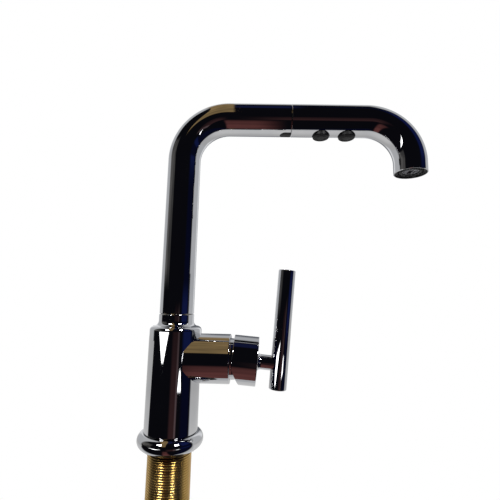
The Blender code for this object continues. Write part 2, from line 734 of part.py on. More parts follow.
def handle_hub():
    """Cup round the ball, drawn out into a neck that is saddled to the bar."""
    cavity = BALL_R + RUNNING
    floor = cavity
    fillet = (GRIP_NECK_R + GRIP_FILLET, HUB_FRONT + GRIP_FILLET)
    bore = STEM_R + GAP
    edge = 0.0005
    outline = [(GRIP_NECK_R, BAR_DISTANCE)]
    outline += arc(fillet, GRIP_FILLET, 180, 270, 4)
    outline += [
        (HUB_R - edge, HUB_FRONT),
        (HUB_R, HUB_FRONT - edge),
        (HUB_R, HUB_BACK + edge),
        (HUB_R - edge, HUB_BACK),
        (cavity, HUB_BACK),
        (cavity, floor),
        (bore, floor),
        (bore, STEM_END + GAP),
        (STUD_R + GAP, STEM_END + GAP),
        (STUD_R + GAP, BAR_DISTANCE),
    ]
    hub = turned("handle_hub", outline, "chrome", **LEVER)
    saddle = rod_cutter("bar_saddle", BAR_R + GAP, lever_point(BAR_DISTANCE, -0.02),
                        lever_point(BAR_DISTANCE, 0.02), ROUND)
    boolean(hub, saddle)
    relief = box_cutter("hub_relief", (-0.03, -0.03, -0.03), (0.0, 0.03, 0.0),
                        (0.0, REST_TILT - HUB_RELIEF_ANGLE, 0.0),
                        lever_point(HUB_BACK, -HUB_RELIEF_START))
    boolean(hub, relief)
    screw_hole = rod_cutter("set_screw_hole", SET_SCREW_R + GAP, lever_point(SET_SCREW_AT, 0.0),
                            lever_point(SET_SCREW_AT, -0.012), SMALL)
    return boolean(hub, screw_hole)


def handle_bar():
    """Straight bar with lightly bevelled ends, drilled for its stud."""
    edge = 0.0007
    outline = [
        (0.0, BAR_UP),
        (BAR_R - edge, BAR_UP),
        (BAR_R, BAR_UP - edge),
        (BAR_R, -BAR_DOWN + edge),
        (BAR_R - edge, -BAR_DOWN),
        (0.0, -BAR_DOWN),
    ]
    bar = turned("handle_bar", outline, "chrome", MEDIUM, False,
                 location=lever_point(BAR_DISTANCE, 0.0), rotation=(0.0, REST_TILT, 0.0),
                 parent=lever_axis)
    hole = rod_cutter("stud_hole", STUD_R + GAP, lever_point(BAR_DISTANCE - 0.02, 0.0),
                      lever_point(STUD_END + GAP, 0.0), SMALL)
    return boolean(bar, hole)


def lever_fasteners():
    """Stud between neck and bar, and the grub screw that grips the stem."""
    turned("handle_stud", disc(STUD_R, STUD_END, STUD_BACK), "steel", 12, False, **LEVER)
    top, bottom = -STEM_R - GAP, -GRIP_NECK_R + GAP
    turned("handle_set_screw", disc(SET_SCREW_R, top, bottom), "steel", 12, False,
           location=lever_point(SET_SCREW_AT, 0.0), rotation=(0.0, REST_TILT, 0.0),
           parent=lever_axis)


# ---------------------------------------------------------------------------------------------
# Spout: bent tube, swivel post with its bushes, clip, and the sleeve that the head docks in
# ---------------------------------------------------------------------------------------------
NOTCH_START = SEAM_X - NOTCH_LENGTH
SEAM_HALF = GAP / 2
DOCK_R = TUBE_BORE_R - GAP
DOCK_BORE_R = TUBE_BORE_R - 0.0026
DOCK_START = SEAM_X - 0.0357
SPIGOT_R = DOCK_BORE_R - GAP
SPIGOT_BORE_R = SPIGOT_R - 0.0016
SPIGOT_START = SEAM_X - 0.0277


def spout_tube():
    """Brass tube bent once, with a round-ended notch below its open end for the head's tab."""
    route = bent_route((0, 0, SPOUT_FOOT), CORNER_R, (0, 0, ARM_Z),
                       (SEAM_X - SEAM_HALF, 0, ARM_Z), 8)
    tube = pipe("spout_tube", route, TUBE_R, TUBE_WALL, "chrome", parent=spout_axis)
    notch = slot_cutter("tube_notch", SEAM_X + 0.002, NOTCH_START, NOTCH_WIDTH,
                        ARM_Z - TUBE_R - 0.002, ARM_Z - TUBE_BORE_R + 0.0025)
    return boolean(tube, notch)


def swivel():
    """Brass post fixed in the tube's foot, turning in two bushes and held up by a clip."""
    clip_top = CEILING_Z - GAP - WASHER_THICK - GAP
    groove = (clip_top + GAP, clip_top - CLIP_THICK - GAP)
    collar = TUBE_BORE_R - GAP
    outline = [
        (collar, POST_TOP),
        (collar, SPOUT_FOOT + GAP),
        (POST_R, SPOUT_FOOT + GAP),
        (POST_R, groove[0]),
        (POST_R - GROOVE_DEPTH, groove[0]),
        (POST_R - GROOVE_DEPTH, groove[1]),
        (POST_R, groove[1]),
        (POST_R, POST_BOTTOM),
        (POST_BORE_R, POST_BOTTOM),
        (POST_BORE_R, POST_TOP),
    ]
    turned("swivel_post", outline, "brass", MEDIUM, parent=spout_axis)
    clip_r = POST_R + 0.0028
    clip = turned("retaining_clip", ring(clip_r, POST_R - GROOVE_DEPTH + GAP, clip_top,
                                         clip_top - CLIP_THICK), "steel", MEDIUM,
                  parent=spout_axis)
    opening = 0.4 * POST_R
    mouth = box_cutter("clip_mouth", (-clip_r - 0.002, -opening, clip_top - 0.004),
                       (0.0, opening, clip_top + 0.002))
    boolean(clip, mouth)
    turned("thrust_washer", ring(LEDGE_R - 0.0010, POST_R + GAP, CEILING_Z - GAP,
                                 CEILING_Z - GAP - WASHER_THICK), "white_nylon", MEDIUM,
           parent=base_axis)
    bush_r, bush_bore = NECK_BORE_R - GAP, POST_R + GAP
    turned("lower_bush", ring(bush_r, bush_bore, CEILING_Z + 0.0067, CEILING_Z + 0.0004),
           "white_nylon", MEDIUM, parent=base_axis)
    flange_top = SPOUT_FOOT - GAP
    barrel_end = CEILING_Z + 0.0087
    outline = [
        (bush_r + BUSH_LIP, flange_top),
        (bush_r + BUSH_LIP, BUSH_SEAT),
        (bush_r, BUSH_SEAT),
        (bush_r, barrel_end),
        (bush_bore, barrel_end),
        (bush_bore, flange_top),
    ]
    turned("upper_bush", outline, "white_nylon", MEDIUM, parent=base_axis)


def dock_sleeve():
    """Plastic sleeve in the arm's end, with a keyway below for the head's tab."""
    sleeve = turned("dock_sleeve", ring(DOCK_R, DOCK_BORE_R, SEAM_X - SEAM_HALF, DOCK_START),
                    "black_plastic", MEDIUM, location=(0, 0, ARM_Z), rotation=ALONG_X,
                    parent=spout_axis)
    keyway = slot_cutter("dock_keyway", SEAM_X + 0.002, NOTCH_START, NOTCH_WIDTH,
                         ARM_Z - DOCK_R - 0.002, ARM_Z - DOCK_BORE_R / 2)
    return boolean(sleeve, keyway)


# ---------------------------------------------------------------------------------------------
# Spray head: shell, docking spigot, inner waterway, buttons and outlet
# ---------------------------------------------------------------------------------------------
HEAD_START = SEAM_X + SEAM_HALF
HEAD = {"location": (0.0, 0.0, ARM_Z), "rotation": ALONG_X, "parent": head_axis}
INSERT_START = SEAM_X + 0.0078
INSERT_END = HEAD_BEND_X - 0.0018
SPIGOT_FLANGE = 0.0030        # gap left between the spigot's flange and the insert
HOSE_END = SPIGOT_START + 0.0096
COUPLING_BORE_R = 0.0035
COUPLING_NOSE_R = 0.0055
BUTTON_WALL = 0.0012
BUTTON_FLOOR = 0.0018         # from a button's face to its floor
COIL_R = 0.0040
COIL_WIRE_R = 0.00025
COIL_TURNS = 3
POCKET_R = BUTTON_R + SHELL_CLEARANCE
BUTTON_HEIGHT = 0.0060
POCKET_TOP = BUTTON_FACE_Z + BUTTON_HEIGHT + BUTTON_TRAVEL + 0.0005
PLUNGER_R = 0.0020
PLUNGER_TOP = ARM_Z + 0.0010
CHANNEL_R = 0.0030
CHANNEL_RISE = 0.0055
WATER_TUBE_R = 0.0050
WATER_TUBE_BORE_R = 0.0036
OUTLET_BODY_TOP = OUTLET_Z + HEAD_DROP + 0.0045
WATER_TUBE_END = OUTLET_Z + HEAD_DROP - GAP
AERATOR_R = TUBE_R - 0.0072
AERATOR_WALL = 0.0010
OUTLET_BOSS_R = TUBE_R - 0.0055
SPRING_STEPS = 8              # straight stretches to a turn of a button's spring


def head_shell():
    """Plated shell in line with the arm, turned down at its end, with its buttons' two holes."""
    route = bent_route((HEAD_START, 0, ARM_Z), HEAD_BEND_R, (OUTLET_X, 0, ARM_Z),
                       (OUTLET_X, 0, OUTLET_Z), 8)
    shell = pipe("head_shell", route, TUBE_R, HEAD_WALL, "chrome", parent=head_axis)
    for name, x in (("spray", SPRAY_BUTTON_X), ("pause", PAUSE_BUTTON_X)):
        hole = rod_cutter(name + "_button_hole", BUTTON_R + SHELL_CLEARANCE,
                          (x, 0, ARM_Z - TUBE_R - 0.005), (x, 0, ARM_Z - 0.004), MEDIUM)
        boolean(shell, hole)
    mouth = rod_cutter("outlet_mouth", TUBE_R - MOUTH_LIP, (OUTLET_X, 0, OUTLET_Z - 0.002),
                       (OUTLET_X, 0, OUTLET_Z + MOUTH_DEPTH), ROUND)
    return boolean(shell, mouth)


def dock_spigot():
    """Black spigot that slides into the dock, with the key tab that shows in the arm's notch."""
    flange_back, flange_front = HEAD_START + 0.0002, INSERT_START - SPIGOT_FLANGE
    outline = [
        (SPIGOT_R, flange_back),
        (INSERT_R, flange_back),
        (INSERT_R, flange_front),
        (SPIGOT_BORE_R, flange_front),
        (SPIGOT_BORE_R, SPIGOT_START),
        (SPIGOT_R, SPIGOT_START),
    ]
    spigot = turned("dock_spigot", outline, "black_plastic", MEDIUM, **HEAD)
    key = slot_cutter("key_tab", HEAD_START + 0.0040, NOTCH_START + GAP,
                      NOTCH_WIDTH - 2 * GAP, ARM_Z - TUBE_R - 0.003, ARM_Z - SPIGOT_R + 0.0008)
    round_tool = rod_cutter("key_round", TUBE_R - GAP, (NOTCH_START - 0.005, 0, ARM_Z),
                            (HEAD_START - 0.0001, 0, ARM_Z), ROUND)
    boolean(key, round_tool, "INTERSECT")
    return boolean(spigot, key, "UNION")


def hose_coupling():
    """Brass coupling on the hose's end, its crimped ferrule and the check valve after it."""
    turned("hose_ferrule", ring(HOSE_R + GAP + 0.0008, HOSE_R + GAP, HOSE_END,
                                HOSE_END - 0.0149), "steel", MEDIUM, **HEAD)
    outline = [
        (COUPLING_NOSE_R, INSERT_START + 0.0030),
        (COUPLING_NOSE_R, INSERT_START - 0.0005),
        (SPIGOT_BORE_R - 0.0004, INSERT_START - 0.0035),
        (SPIGOT_BORE_R - 0.0004, HOSE_END + GAP),
        (COUPLING_BORE_R, HOSE_END + GAP),
        (COUPLING_BORE_R, INSERT_START + 0.0030),
    ]
    turned("hose_coupling", outline, "brass", SMALL, **HEAD)
    turned("check_valve", ring(COUPLING_NOSE_R - 0.0001, 0.0026, INSERT_START + 0.0095,
                               INSERT_START + 0.0040), "white_nylon", SMALL, **HEAD)


def diverter_housing():
    """Insert that fills the head's straight part: inlet, channel, pockets for the two buttons."""
    housing = turned("diverter_housing", disc(INSERT_R, INSERT_END, INSERT_START),
                     "black_plastic", MEDIUM, False, **HEAD)
    inlet = rod_cutter("housing_inlet", COUPLING_NOSE_R + GAP, (INSERT_START - 0.001, 0, ARM_Z),
                       (INSERT_START + 0.0100, 0, ARM_Z), SMALL)
    channel = rod_cutter("housing_channel", CHANNEL_R,
                         (INSERT_START + 0.0070, 0, ARM_Z + CHANNEL_RISE),
                         (INSERT_END - 0.0030, 0, ARM_Z + CHANNEL_RISE), 12)
    outlet = rod_cutter("housing_outlet", WATER_TUBE_R + GAP,
                        (INSERT_END - 0.0060, 0, ARM_Z), (INSERT_END + 0.001, 0, ARM_Z), SMALL)
    for tool in (inlet, channel, outlet):
        boolean(housing, tool)
    for name, x in (("spray", SPRAY_BUTTON_X), ("pause", PAUSE_BUTTON_X)):
        pocket = rod_cutter(name + "_pocket", POCKET_R, (x, 0, ARM_Z - TUBE_R - 0.002),
                            (x, 0, POCKET_TOP), MEDIUM)
        guide = rod_cutter(name + "_guide", PLUNGER_R + GAP, (x, 0, POCKET_TOP - 0.001),
                           (x, 0, ARM_Z + CHANNEL_RISE), 12)
        boolean(housing, pocket)
        boolean(housing, guide)
    return housing


def button(name, x, axis):
    """Domed push button, hollow above for its spring, with a plunger into the channel."""
    top = BUTTON_FACE_Z + BUTTON_HEIGHT
    floor = BUTTON_FACE_Z + BUTTON_FLOOR
    outline = [
        (BUTTON_R, top),
        (BUTTON_R, BUTTON_FACE_Z + 0.0011),
        (BUTTON_R - 0.0004, BUTTON_FACE_Z + 0.0005),
        (BUTTON_R * 0.62, BUTTON_FACE_Z + 0.0001),
        (0.0, BUTTON_FACE_Z),
    ]
    seat_r = PLUNGER_R + GAP
    outline += [(0.0, floor - 0.0008), (seat_r, floor - 0.0008), (seat_r, floor),
                (BUTTON_R - BUTTON_WALL, floor), (BUTTON_R - BUTTON_WALL, top)]
    turned(name + "_button", outline, "black_plastic", MEDIUM, location=(x, 0, 0), parent=axis)
    turned(name + "_plunger", disc(PLUNGER_R, PLUNGER_TOP, floor - 0.0005), "steel", 12, False,
           location=(x, 0, 0), parent=axis)
    low, high = floor + COIL_WIRE_R + GAP, POCKET_TOP - COIL_WIRE_R - GAP
    route = []
    steps = COIL_TURNS * SPRING_STEPS
    for step in range(steps + 1):
        angle = 2 * math.pi * step / SPRING_STEPS
        rise = low + (high - low) * step / steps
        route.append((x + COIL_R * math.cos(angle), COIL_R * math.sin(angle), rise))
    coil = mesh_of_curve(pipe_curve(name + "_coil", route, COIL_WIRE_R, 1, True), name + "_coil")
    add_piece(name + "_spring", coil.data, "steel", parent=axis)
    bpy.data.objects.remove(coil, do_unlink=True)


def head_water_tube():
    """Plastic tube that carries the water round the head's bend."""
    route = bent_route((INSERT_END - 0.0055, 0, ARM_Z), HEAD_BEND_R, (OUTLET_X, 0, ARM_Z),
                       (OUTLET_X, 0, WATER_TUBE_END), 8)
    return pipe("head_water_tube", route, WATER_TUBE_R, WATER_TUBE_R - WATER_TUBE_BORE_R,
                "white_nylon", 4, head_axis)


def outlet():
    """Spray face with its boss, the aerator in its middle and the aerator's screen."""
    place = {"location": (OUTLET_X, 0, 0), "parent": head_axis}
    face = OUTLET_Z + 0.0008
    step = OUTLET_Z + MOUTH_DEPTH - GAP
    recess = WATER_TUBE_END - GAP - 0.0010
    bore = WATER_TUBE_R + RUNNING
    rim_r = TUBE_R - MOUTH_LIP - GAP
    outline = [
        (OUTLET_BOSS_R, OUTLET_BODY_TOP),
        (OUTLET_BOSS_R, step + 0.0035),
        (INSERT_R, step + 0.0015),
        (INSERT_R, step),
        (rim_r, step),
        (rim_r, face + 0.0006),
        (rim_r - 0.0006, face),
        (AERATOR_R + GAP, face),
        (AERATOR_R + GAP, recess),
        (WATER_TUBE_BORE_R, recess),
        (WATER_TUBE_BORE_R, WATER_TUBE_END - GAP),
        (bore, WATER_TUBE_END - GAP),
        (bore, OUTLET_BODY_TOP),
    ]
    turned("spray_face", outline, "black_plastic", MEDIUM, **place)
    turned("aerator", ring(AERATOR_R, AERATOR_R - AERATOR_WALL, recess - GAP, face + 0.0008),
           "grey_plastic", MEDIUM, **place)
    screen_r = AERATOR_R - AERATOR_WALL - GAP
    turned("aerator_screen", disc(screen_r, face + 0.0024, face + 0.0014), "grey_plastic",
           MEDIUM, False, **place)


# ---------------------------------------------------------------------------------------------
# Hose: from its tail below the shank, up the riser and round the corner into the head
# ---------------------------------------------------------------------------------------------
TAIL_LENGTH = 0.0180
TAIL_R = 0.0070
TAIL_NOSE_R = 0.0055


def pull_out_hose():
    """Hose up the tap's axis, round the corner and into the spigot, and its brass tail."""
    route = bent_route((0, 0, HOSE_BOTTOM), CORNER_R, (0, 0, ARM_Z),
                       (HOSE_END - GAP, 0, ARM_Z), 7)
    hose = mesh_of_curve(pipe_curve("hose_line", route, HOSE_R, 4, True), "hose_line")
    add_piece("pull_out_hose", hose.data, "braid", parent=spout_axis)
    bpy.data.objects.remove(hose, do_unlink=True)
    top = HOSE_BOTTOM - GAP
    bottom = top - TAIL_LENGTH
    outline = [
        (TAIL_R, top),
        (TAIL_R, top - 0.0090),
        (TAIL_NOSE_R, top - 0.0100),
        (TAIL_NOSE_R, bottom),
        (COUPLING_BORE_R, bottom),
        (COUPLING_BORE_R, top),
    ]
    turned("hose_tail", outline, "brass", SMALL, parent=base_axis)


mixer_body()
base_flange()
base_gasket()
threaded_shank()
deck_clamp()
water_pipes()
waterway_block()
cartridge_housing()
cartridge_seals()
ceramic_discs()
cartridge_carriage()
cartridge_nut_and_ball()
lever_stem()
handle_hub()
handle_bar()
lever_fasteners()
spout_tube()
swivel()
dock_sleeve()
head_shell()
dock_spigot()
hose_coupling()
diverter_housing()
button("spray", SPRAY_BUTTON_X, spray_button_axis)
button("pause", PAUSE_BUTTON_X, pause_button_axis)
head_water_tube()
outlet()
pull_out_hose()
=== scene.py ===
"""Pull-out kitchen mixer tap in polished chrome on a threaded brass shank."""
import json
import math

import bmesh
import bpy
import numpy as np
from mathutils import Matrix, Vector

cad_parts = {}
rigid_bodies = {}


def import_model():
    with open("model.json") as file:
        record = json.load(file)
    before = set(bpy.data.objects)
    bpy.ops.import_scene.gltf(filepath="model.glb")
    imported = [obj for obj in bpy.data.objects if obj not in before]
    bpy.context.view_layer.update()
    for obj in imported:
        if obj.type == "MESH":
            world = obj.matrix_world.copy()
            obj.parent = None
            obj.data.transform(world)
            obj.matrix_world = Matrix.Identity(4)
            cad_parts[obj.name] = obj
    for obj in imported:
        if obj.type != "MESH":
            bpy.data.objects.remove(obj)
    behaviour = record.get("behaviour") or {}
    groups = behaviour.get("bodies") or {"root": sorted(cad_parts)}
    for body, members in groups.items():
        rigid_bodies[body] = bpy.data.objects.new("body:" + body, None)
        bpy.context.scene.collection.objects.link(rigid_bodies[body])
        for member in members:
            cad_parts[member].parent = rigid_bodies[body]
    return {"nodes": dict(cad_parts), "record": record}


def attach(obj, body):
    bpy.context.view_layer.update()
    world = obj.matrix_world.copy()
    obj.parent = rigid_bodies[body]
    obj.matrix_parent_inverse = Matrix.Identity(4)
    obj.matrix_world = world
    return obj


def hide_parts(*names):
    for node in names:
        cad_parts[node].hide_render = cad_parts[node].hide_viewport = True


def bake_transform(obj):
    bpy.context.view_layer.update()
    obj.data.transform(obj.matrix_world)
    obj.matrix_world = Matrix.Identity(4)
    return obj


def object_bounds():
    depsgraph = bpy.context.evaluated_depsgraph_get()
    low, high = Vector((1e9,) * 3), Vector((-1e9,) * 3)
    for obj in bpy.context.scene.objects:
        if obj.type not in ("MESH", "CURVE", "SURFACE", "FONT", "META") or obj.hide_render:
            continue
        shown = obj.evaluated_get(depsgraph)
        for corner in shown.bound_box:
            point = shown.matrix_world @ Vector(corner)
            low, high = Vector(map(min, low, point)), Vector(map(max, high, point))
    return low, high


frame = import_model()
cad_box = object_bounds()
nodes = frame["nodes"]
scene = bpy.context.scene

# ----------------------------------------------------------------------------------------------
# Camera: held a little above the lever and close to the tap, tipped up so that the whole arm shows.
# A wide lens, so the riser leans and the flange is seen from above.
# ----------------------------------------------------------------------------------------------
camera = bpy.data.objects.new("camera", bpy.data.cameras.new("camera"))
scene.collection.objects.link(camera)
camera.data.sensor_width = 36.0
camera.data.lens = 25.42
right = Vector((0.9996, 0.0155, 0.0219)).normalized()
ahead = Vector((-0.0185, 0.9894, 0.1443)).normalized()
upward = right.cross(ahead)
camera.matrix_world = Matrix((
    (right.x, upward.x, -ahead.x, 0.0652),
    (right.y, upward.y, -ahead.y, -0.2970),
    (right.z, upward.z, -ahead.z, 0.1140),
    (0.0, 0.0, 0.0, 1.0),
))
camera.data.clip_start = 0.01
scene.camera = camera

# ----------------------------------------------------------------------------------------------
# Studio: a pale sweep behind and below, and a dim room behind the camera.  Polished chrome shows
# only what stands round it, so the room is dark in front, blue to the right, wood-brown low down.
# ----------------------------------------------------------------------------------------------
scene.view_settings.view_transform = "Standard"
MIX_A, MIX_B = 6, 7   # the two colour sockets of a Mix node


def link(tree, source, target):
    """Wire one node's output into another's input."""
    tree.links.new(source, target)


def shader_node(tree, kind, **settings):
    """Add a node; settings name its properties, or its inputs by their labels."""
    made = tree.nodes.new(kind)
    for key, value in settings.items():
        if hasattr(made, key):
            setattr(made, key, value)
        else:
            made.inputs[key.replace("_", " ")].default_value = value
    return made


def sum_of(tree, operation, first, second):
    """A Math node on two sockets or numbers."""
    made = shader_node(tree, "ShaderNodeMath", operation=operation)
    for slot, value in zip(made.inputs, (first, second)):
        if isinstance(value, (int, float)):
            slot.default_value = value
        else:
            link(tree, value, slot)
    return made.outputs[0]


def ramp(tree, value, from_low, from_high, low, high):
    """Map a number from one range to another, held at both ends."""
    made = shader_node(tree, "ShaderNodeMapRange")
    link(tree, value, made.inputs["Value"])
    for label, number in (("From Min", from_low), ("From Max", from_high), ("To Min", low),
                          ("To Max", high)):
        made.inputs[label].default_value = number
    return made.outputs[0]


def band(tree, value, low, high, soft):
    """1 where value lies between low and high, with soft edges."""
    rising = ramp(tree, value, low - soft, low + soft, 0.0, 1.0)
    falling = ramp(tree, value, high + soft, high - soft, 0.0, 1.0)
    for edge in (rising, falling):
        edge.node.interpolation_type = "SMOOTHSTEP"
    return sum_of(tree, "MULTIPLY", rising, falling)


def room_world():
    """The room as the chrome sees it, and plain white where the camera looks straight at it."""
    world = bpy.data.worlds.new("studio")
    scene.world = world
    world.use_nodes = True
    tree = world.node_tree
    tree.nodes.clear()
    direction = shader_node(tree, "ShaderNodeTexCoord").outputs["Generated"]
    split = shader_node(tree, "ShaderNodeSeparateXYZ")
    link(tree, direction, split.inputs[0])
    x, y, z = split.outputs
    turn = sum_of(tree, "ARCTAN2", x, sum_of(tree, "MULTIPLY", y, -1.0))   # 0 at the front
    blotches = shader_node(tree, "ShaderNodeTexNoise", Scale=3.0, Detail=4.0)
    link(tree, direction, blotches.inputs["Vector"])
    grain = blotches.outputs["Fac"]

    colour = shader_node(tree, "ShaderNodeRGB").outputs[0]
    colour.default_value = (0.004, 0.004, 0.006, 1.0)

    def paint(mask, shade):
        """Lay one more colour over the room where the mask says."""
        nonlocal colour
        mix = shader_node(tree, "ShaderNodeMix", data_type="RGBA")
        link(tree, mask, mix.inputs["Factor"])
        link(tree, colour, mix.inputs[MIX_A])
        mix.inputs[MIX_B].default_value = (*shade, 1.0)
        colour = mix.outputs[2]

    def both(first, second):
        """Where two masks overlap."""
        return sum_of(tree, "MULTIPLY", first, second)

    def leaf(centre, widest, narrowest, bottom, top):
        """A bright opening in the dark, wide above and narrow below."""
        aside = sum_of(tree, "SUBTRACT", turn, centre)
        width = ramp(tree, z, bottom, top, narrowest, widest)
        share = sum_of(tree, "DIVIDE", aside, width)
        return both(band(tree, share, -1.0, 1.0, 0.12), band(tree, z, bottom, top, 0.005))

    front = band(tree, y, -2.0, 0.05, 0.03)
    wood = both(band(tree, z, -2.0, -0.46, 0.08), band(tree, x, -0.20, 0.03, 0.05))
    wood = both(both(wood, front), ramp(tree, z, -0.40, -0.90, 0.35, 1.15))
    paint(both(wood, ramp(tree, grain, 0.3, 0.7, 0.55, 1.0)), (0.15, 0.052, 0.048))
    level = band(tree, z, -0.38, -0.03, 0.03)
    level = both(level, ramp(tree, z, -0.08, -0.28, 0.45, 1.0))
    paint(both(band(tree, turn, 0.02, 0.48, 0.10), level), (0.040, 0.018, 0.019))
    paint(both(band(tree, turn, 0.40, 0.52, 0.04), level), (0.11, 0.075, 0.080))
    paint(band(tree, turn, 0.85, 1.50, 0.15), (0.003, 0.004, 0.017))
    paint(both(band(tree, turn, 0.80, 1.45, 0.12), band(tree, z, -0.15, 0.02, 0.04)),
          (0.007, 0.012, 0.065))
    paint(both(band(tree, turn, 0.95, 1.50, 0.10), band(tree, z, 0.36, 0.85, 0.06)),
          (0.007, 0.012, 0.070))
    panel = both(band(tree, turn, -1.85, -0.98, 0.05), band(tree, z, 0.06, 0.60, 0.04))
    paint(both(panel, ramp(tree, grain, 0.42, 0.60, 0.35, 1.0)), (0.14, 0.135, 0.13))
    behind = sum_of(tree, "MAXIMUM", band(tree, turn, 1.62, 4.0, 0.07),
                    band(tree, turn, -4.0, -1.70, 0.07))
    paint(both(behind, band(tree, z, -2.0, 0.93, 0.03)), (0.58, 0.59, 0.605))
    facing = band(tree, sum_of(tree, "ABSOLUTE", turn, 0.0), 2.55, 2.85, 0.10)
    paint(both(facing, band(tree, z, -0.30, 0.70, 0.10)), (0.95, 0.96, 0.98))
    centre = band(tree, sum_of(tree, "ABSOLUTE", turn, 0.0), 2.98, 4.0, 0.05)
    paint(both(centre, band(tree, z, -0.10, 0.60, 0.15)), (0.16, 0.17, 0.19))
    paint(both(both(band(tree, z, 0.93, 2.0, 0.02), band(tree, x, -0.07, 0.10, 0.03)), front),
          (0.008, 0.011, 0.045))
    shelf = both(band(tree, z, 0.50, 1.5, 0.03), band(tree, x, -0.30, -0.066, 0.004))
    shelf = both(shelf, ramp(tree, grain, 0.35, 0.55, 0.55, 1.0))
    paint(both(shelf, band(tree, y, -0.90, 0.50, 0.03)), (0.33, 0.225, 0.10))
    paint(leaf(-0.70, 0.40, 0.07, -0.165, -0.080), (4.0, 4.0, 4.0))
    paint(leaf(0.66, 0.05, 0.13, -0.235, -0.185), (3.0, 3.0, 3.0))

    room = shader_node(tree, "ShaderNodeBackground", Strength=1.0)
    link(tree, colour, room.inputs["Color"])
    sweep = shader_node(tree, "ShaderNodeBackground", Color=(1, 1, 1, 1), Strength=1.0)
    seen = shader_node(tree, "ShaderNodeLightPath").outputs["Is Camera Ray"]
    either = shader_node(tree, "ShaderNodeMixShader")
    link(tree, seen, either.inputs[0])
    link(tree, room.outputs[0], either.inputs[1])
    link(tree, sweep.outputs[0], either.inputs[2])
    output = shader_node(tree, "ShaderNodeOutputWorld")
    link(tree, either.outputs[0], output.inputs["Surface"])


room_world()


def pale_floor():
    """Plain white to the eye; in the chrome it is bright near the tap, greyer far off, and gives
    way to the dim room in front."""
    made = bpy.data.materials.new("pale_floor")
    made.use_nodes = True
    tree = made.node_tree
    tree.nodes.clear()
    place = shader_node(tree, "ShaderNodeTexCoord").outputs["Object"]
    split = shader_node(tree, "ShaderNodeSeparateXYZ")
    link(tree, place, split.inputs[0])
    away = shader_node(tree, "ShaderNodeVectorMath", operation="LENGTH")
    link(tree, place, away.inputs[0])
    near, far, front_edge = 0.22, 0.60, 0.03
    fade = ramp(tree, away.outputs["Value"], near, far, 0.74, 0.56)
    eye = shader_node(tree, "ShaderNodeLightPath").outputs["Is Camera Ray"]
    glow = shader_node(tree, "ShaderNodeEmission", Color=(1.0, 1.0, 1.0, 1.0))
    link(tree, sum_of(tree, "MAXIMUM", eye, fade), glow.inputs["Strength"])
    behind = sum_of(tree, "GREATER_THAN", split.outputs[1], front_edge)
    either = shader_node(tree, "ShaderNodeMixShader")
    link(tree, sum_of(tree, "MAXIMUM", eye, behind), either.inputs[0])
    link(tree, shader_node(tree, "ShaderNodeBsdfTransparent").outputs[0], either.inputs[1])
    link(tree, glow.outputs[0], either.inputs[2])
    output = shader_node(tree, "ShaderNodeOutputMaterial")
    link(tree, either.outputs[0], output.inputs["Surface"])
    return made


def floor():
    """One large flat sheet, just below the hose's tail."""
    level = cad_box[0].z - 0.0006
    mesh = bpy.data.meshes.new("floor")
    mesh.from_pydata([(-1.6, -1.0, level), (1.8, -1.0, level), (1.8, 1.6, level),
                      (-1.6, 1.6, level)], [], [(0, 1, 2, 3)])
    mesh.materials.append(pale_floor())
    made = bpy.data.objects.new("floor", mesh)
    scene.collection.objects.link(made)


floor()


def soft_light(name, place, aim, size, power):
    """A square softbox pointing at aim."""
    lamp = bpy.data.lights.new(name, "AREA")
    lamp.shape = "RECTANGLE"
    lamp.size, lamp.size_y = size
    lamp.energy = power
    made = bpy.data.objects.new(name, lamp)
    scene.collection.objects.link(made)
    made.location = place
    made.rotation_euler = (Vector(aim) - Vector(place)).to_track_quat("-Z", "Y").to_euler()
    return made


spared = {}   # each box leaves one bend of the arm dark
for side, reach, bend in (("left", -0.55, "spout_tube"), ("right", 0.70, "head_shell")):
    box = soft_light(side + "_softbox", (reach, -0.85, 1.05), (0.05, 0.0, 0.10), (0.30, 0.22), 9.0)
    spared[bend] = bpy.data.collections.new(side + "_lights_these")
    box.light_linking.receiver_collection = spared[bend]

# ----------------------------------------------------------------------------------------------
# Mixer body: cast brass, turned, polished and chrome plated.  The straight barrel has a rounded
# shoulder up to a slim neck, and a stub brazed to its side that the cartridge and its ball sit in.
# ----------------------------------------------------------------------------------------------
GAP = 0.0003
PIVOT = Vector((0.0464, 0.0, 0.0676))
UPRIGHT = Matrix.Identity(4)
STUB_LINE = Matrix.Translation((0.0, 0.0, PIVOT.z)) @ Matrix.Rotation(math.pi / 2, 4, "Y")


def material(name, base, metallic, roughness):
    """A new material, its tree and its shader, with the values that are the same all over."""
    made = bpy.data.materials.new(name)
    made.use_nodes = True
    tree = made.node_tree
    shader = tree.nodes["Principled BSDF"]
    shader.inputs["Base Color"].default_value = (*base, 1.0)
    shader.inputs["Metallic"].default_value = metallic
    shader.inputs["Roughness"].default_value = roughness
    return made, tree, shader


def noise(tree, scale, detail=4.0, stretch=(1, 1, 1)):
    """Noise through the metal or plastic itself, in metres, stretched along an axis if wanted."""
    place = shader_node(tree, "ShaderNodeTexCoord").outputs["Object"]
    shape = shader_node(tree, "ShaderNodeMapping")
    shape.inputs["Scale"].default_value = stretch
    link(tree, place, shape.inputs["Vector"])
    made = shader_node(tree, "ShaderNodeTexNoise", Scale=scale, Detail=detail)
    link(tree, shape.outputs[0], made.inputs["Vector"])
    return made.outputs["Fac"]


def spread(tree, value, low, high, from_low=0.35, from_high=0.65):
    """Map a noise value to a range."""
    return ramp(tree, value, from_low, from_high, low, high)


def tint(tree, value, dark, light, from_low=0.35, from_high=0.65):
    """Blend two colours by a noise value."""
    mix = shader_node(tree, "ShaderNodeMix", data_type="RGBA")
    link(tree, spread(tree, value, 0.0, 1.0, from_low, from_high), mix.inputs["Factor"])
    mix.inputs[MIX_A].default_value = (*dark, 1.0)
    mix.inputs[MIX_B].default_value = (*light, 1.0)
    return mix.outputs[2]


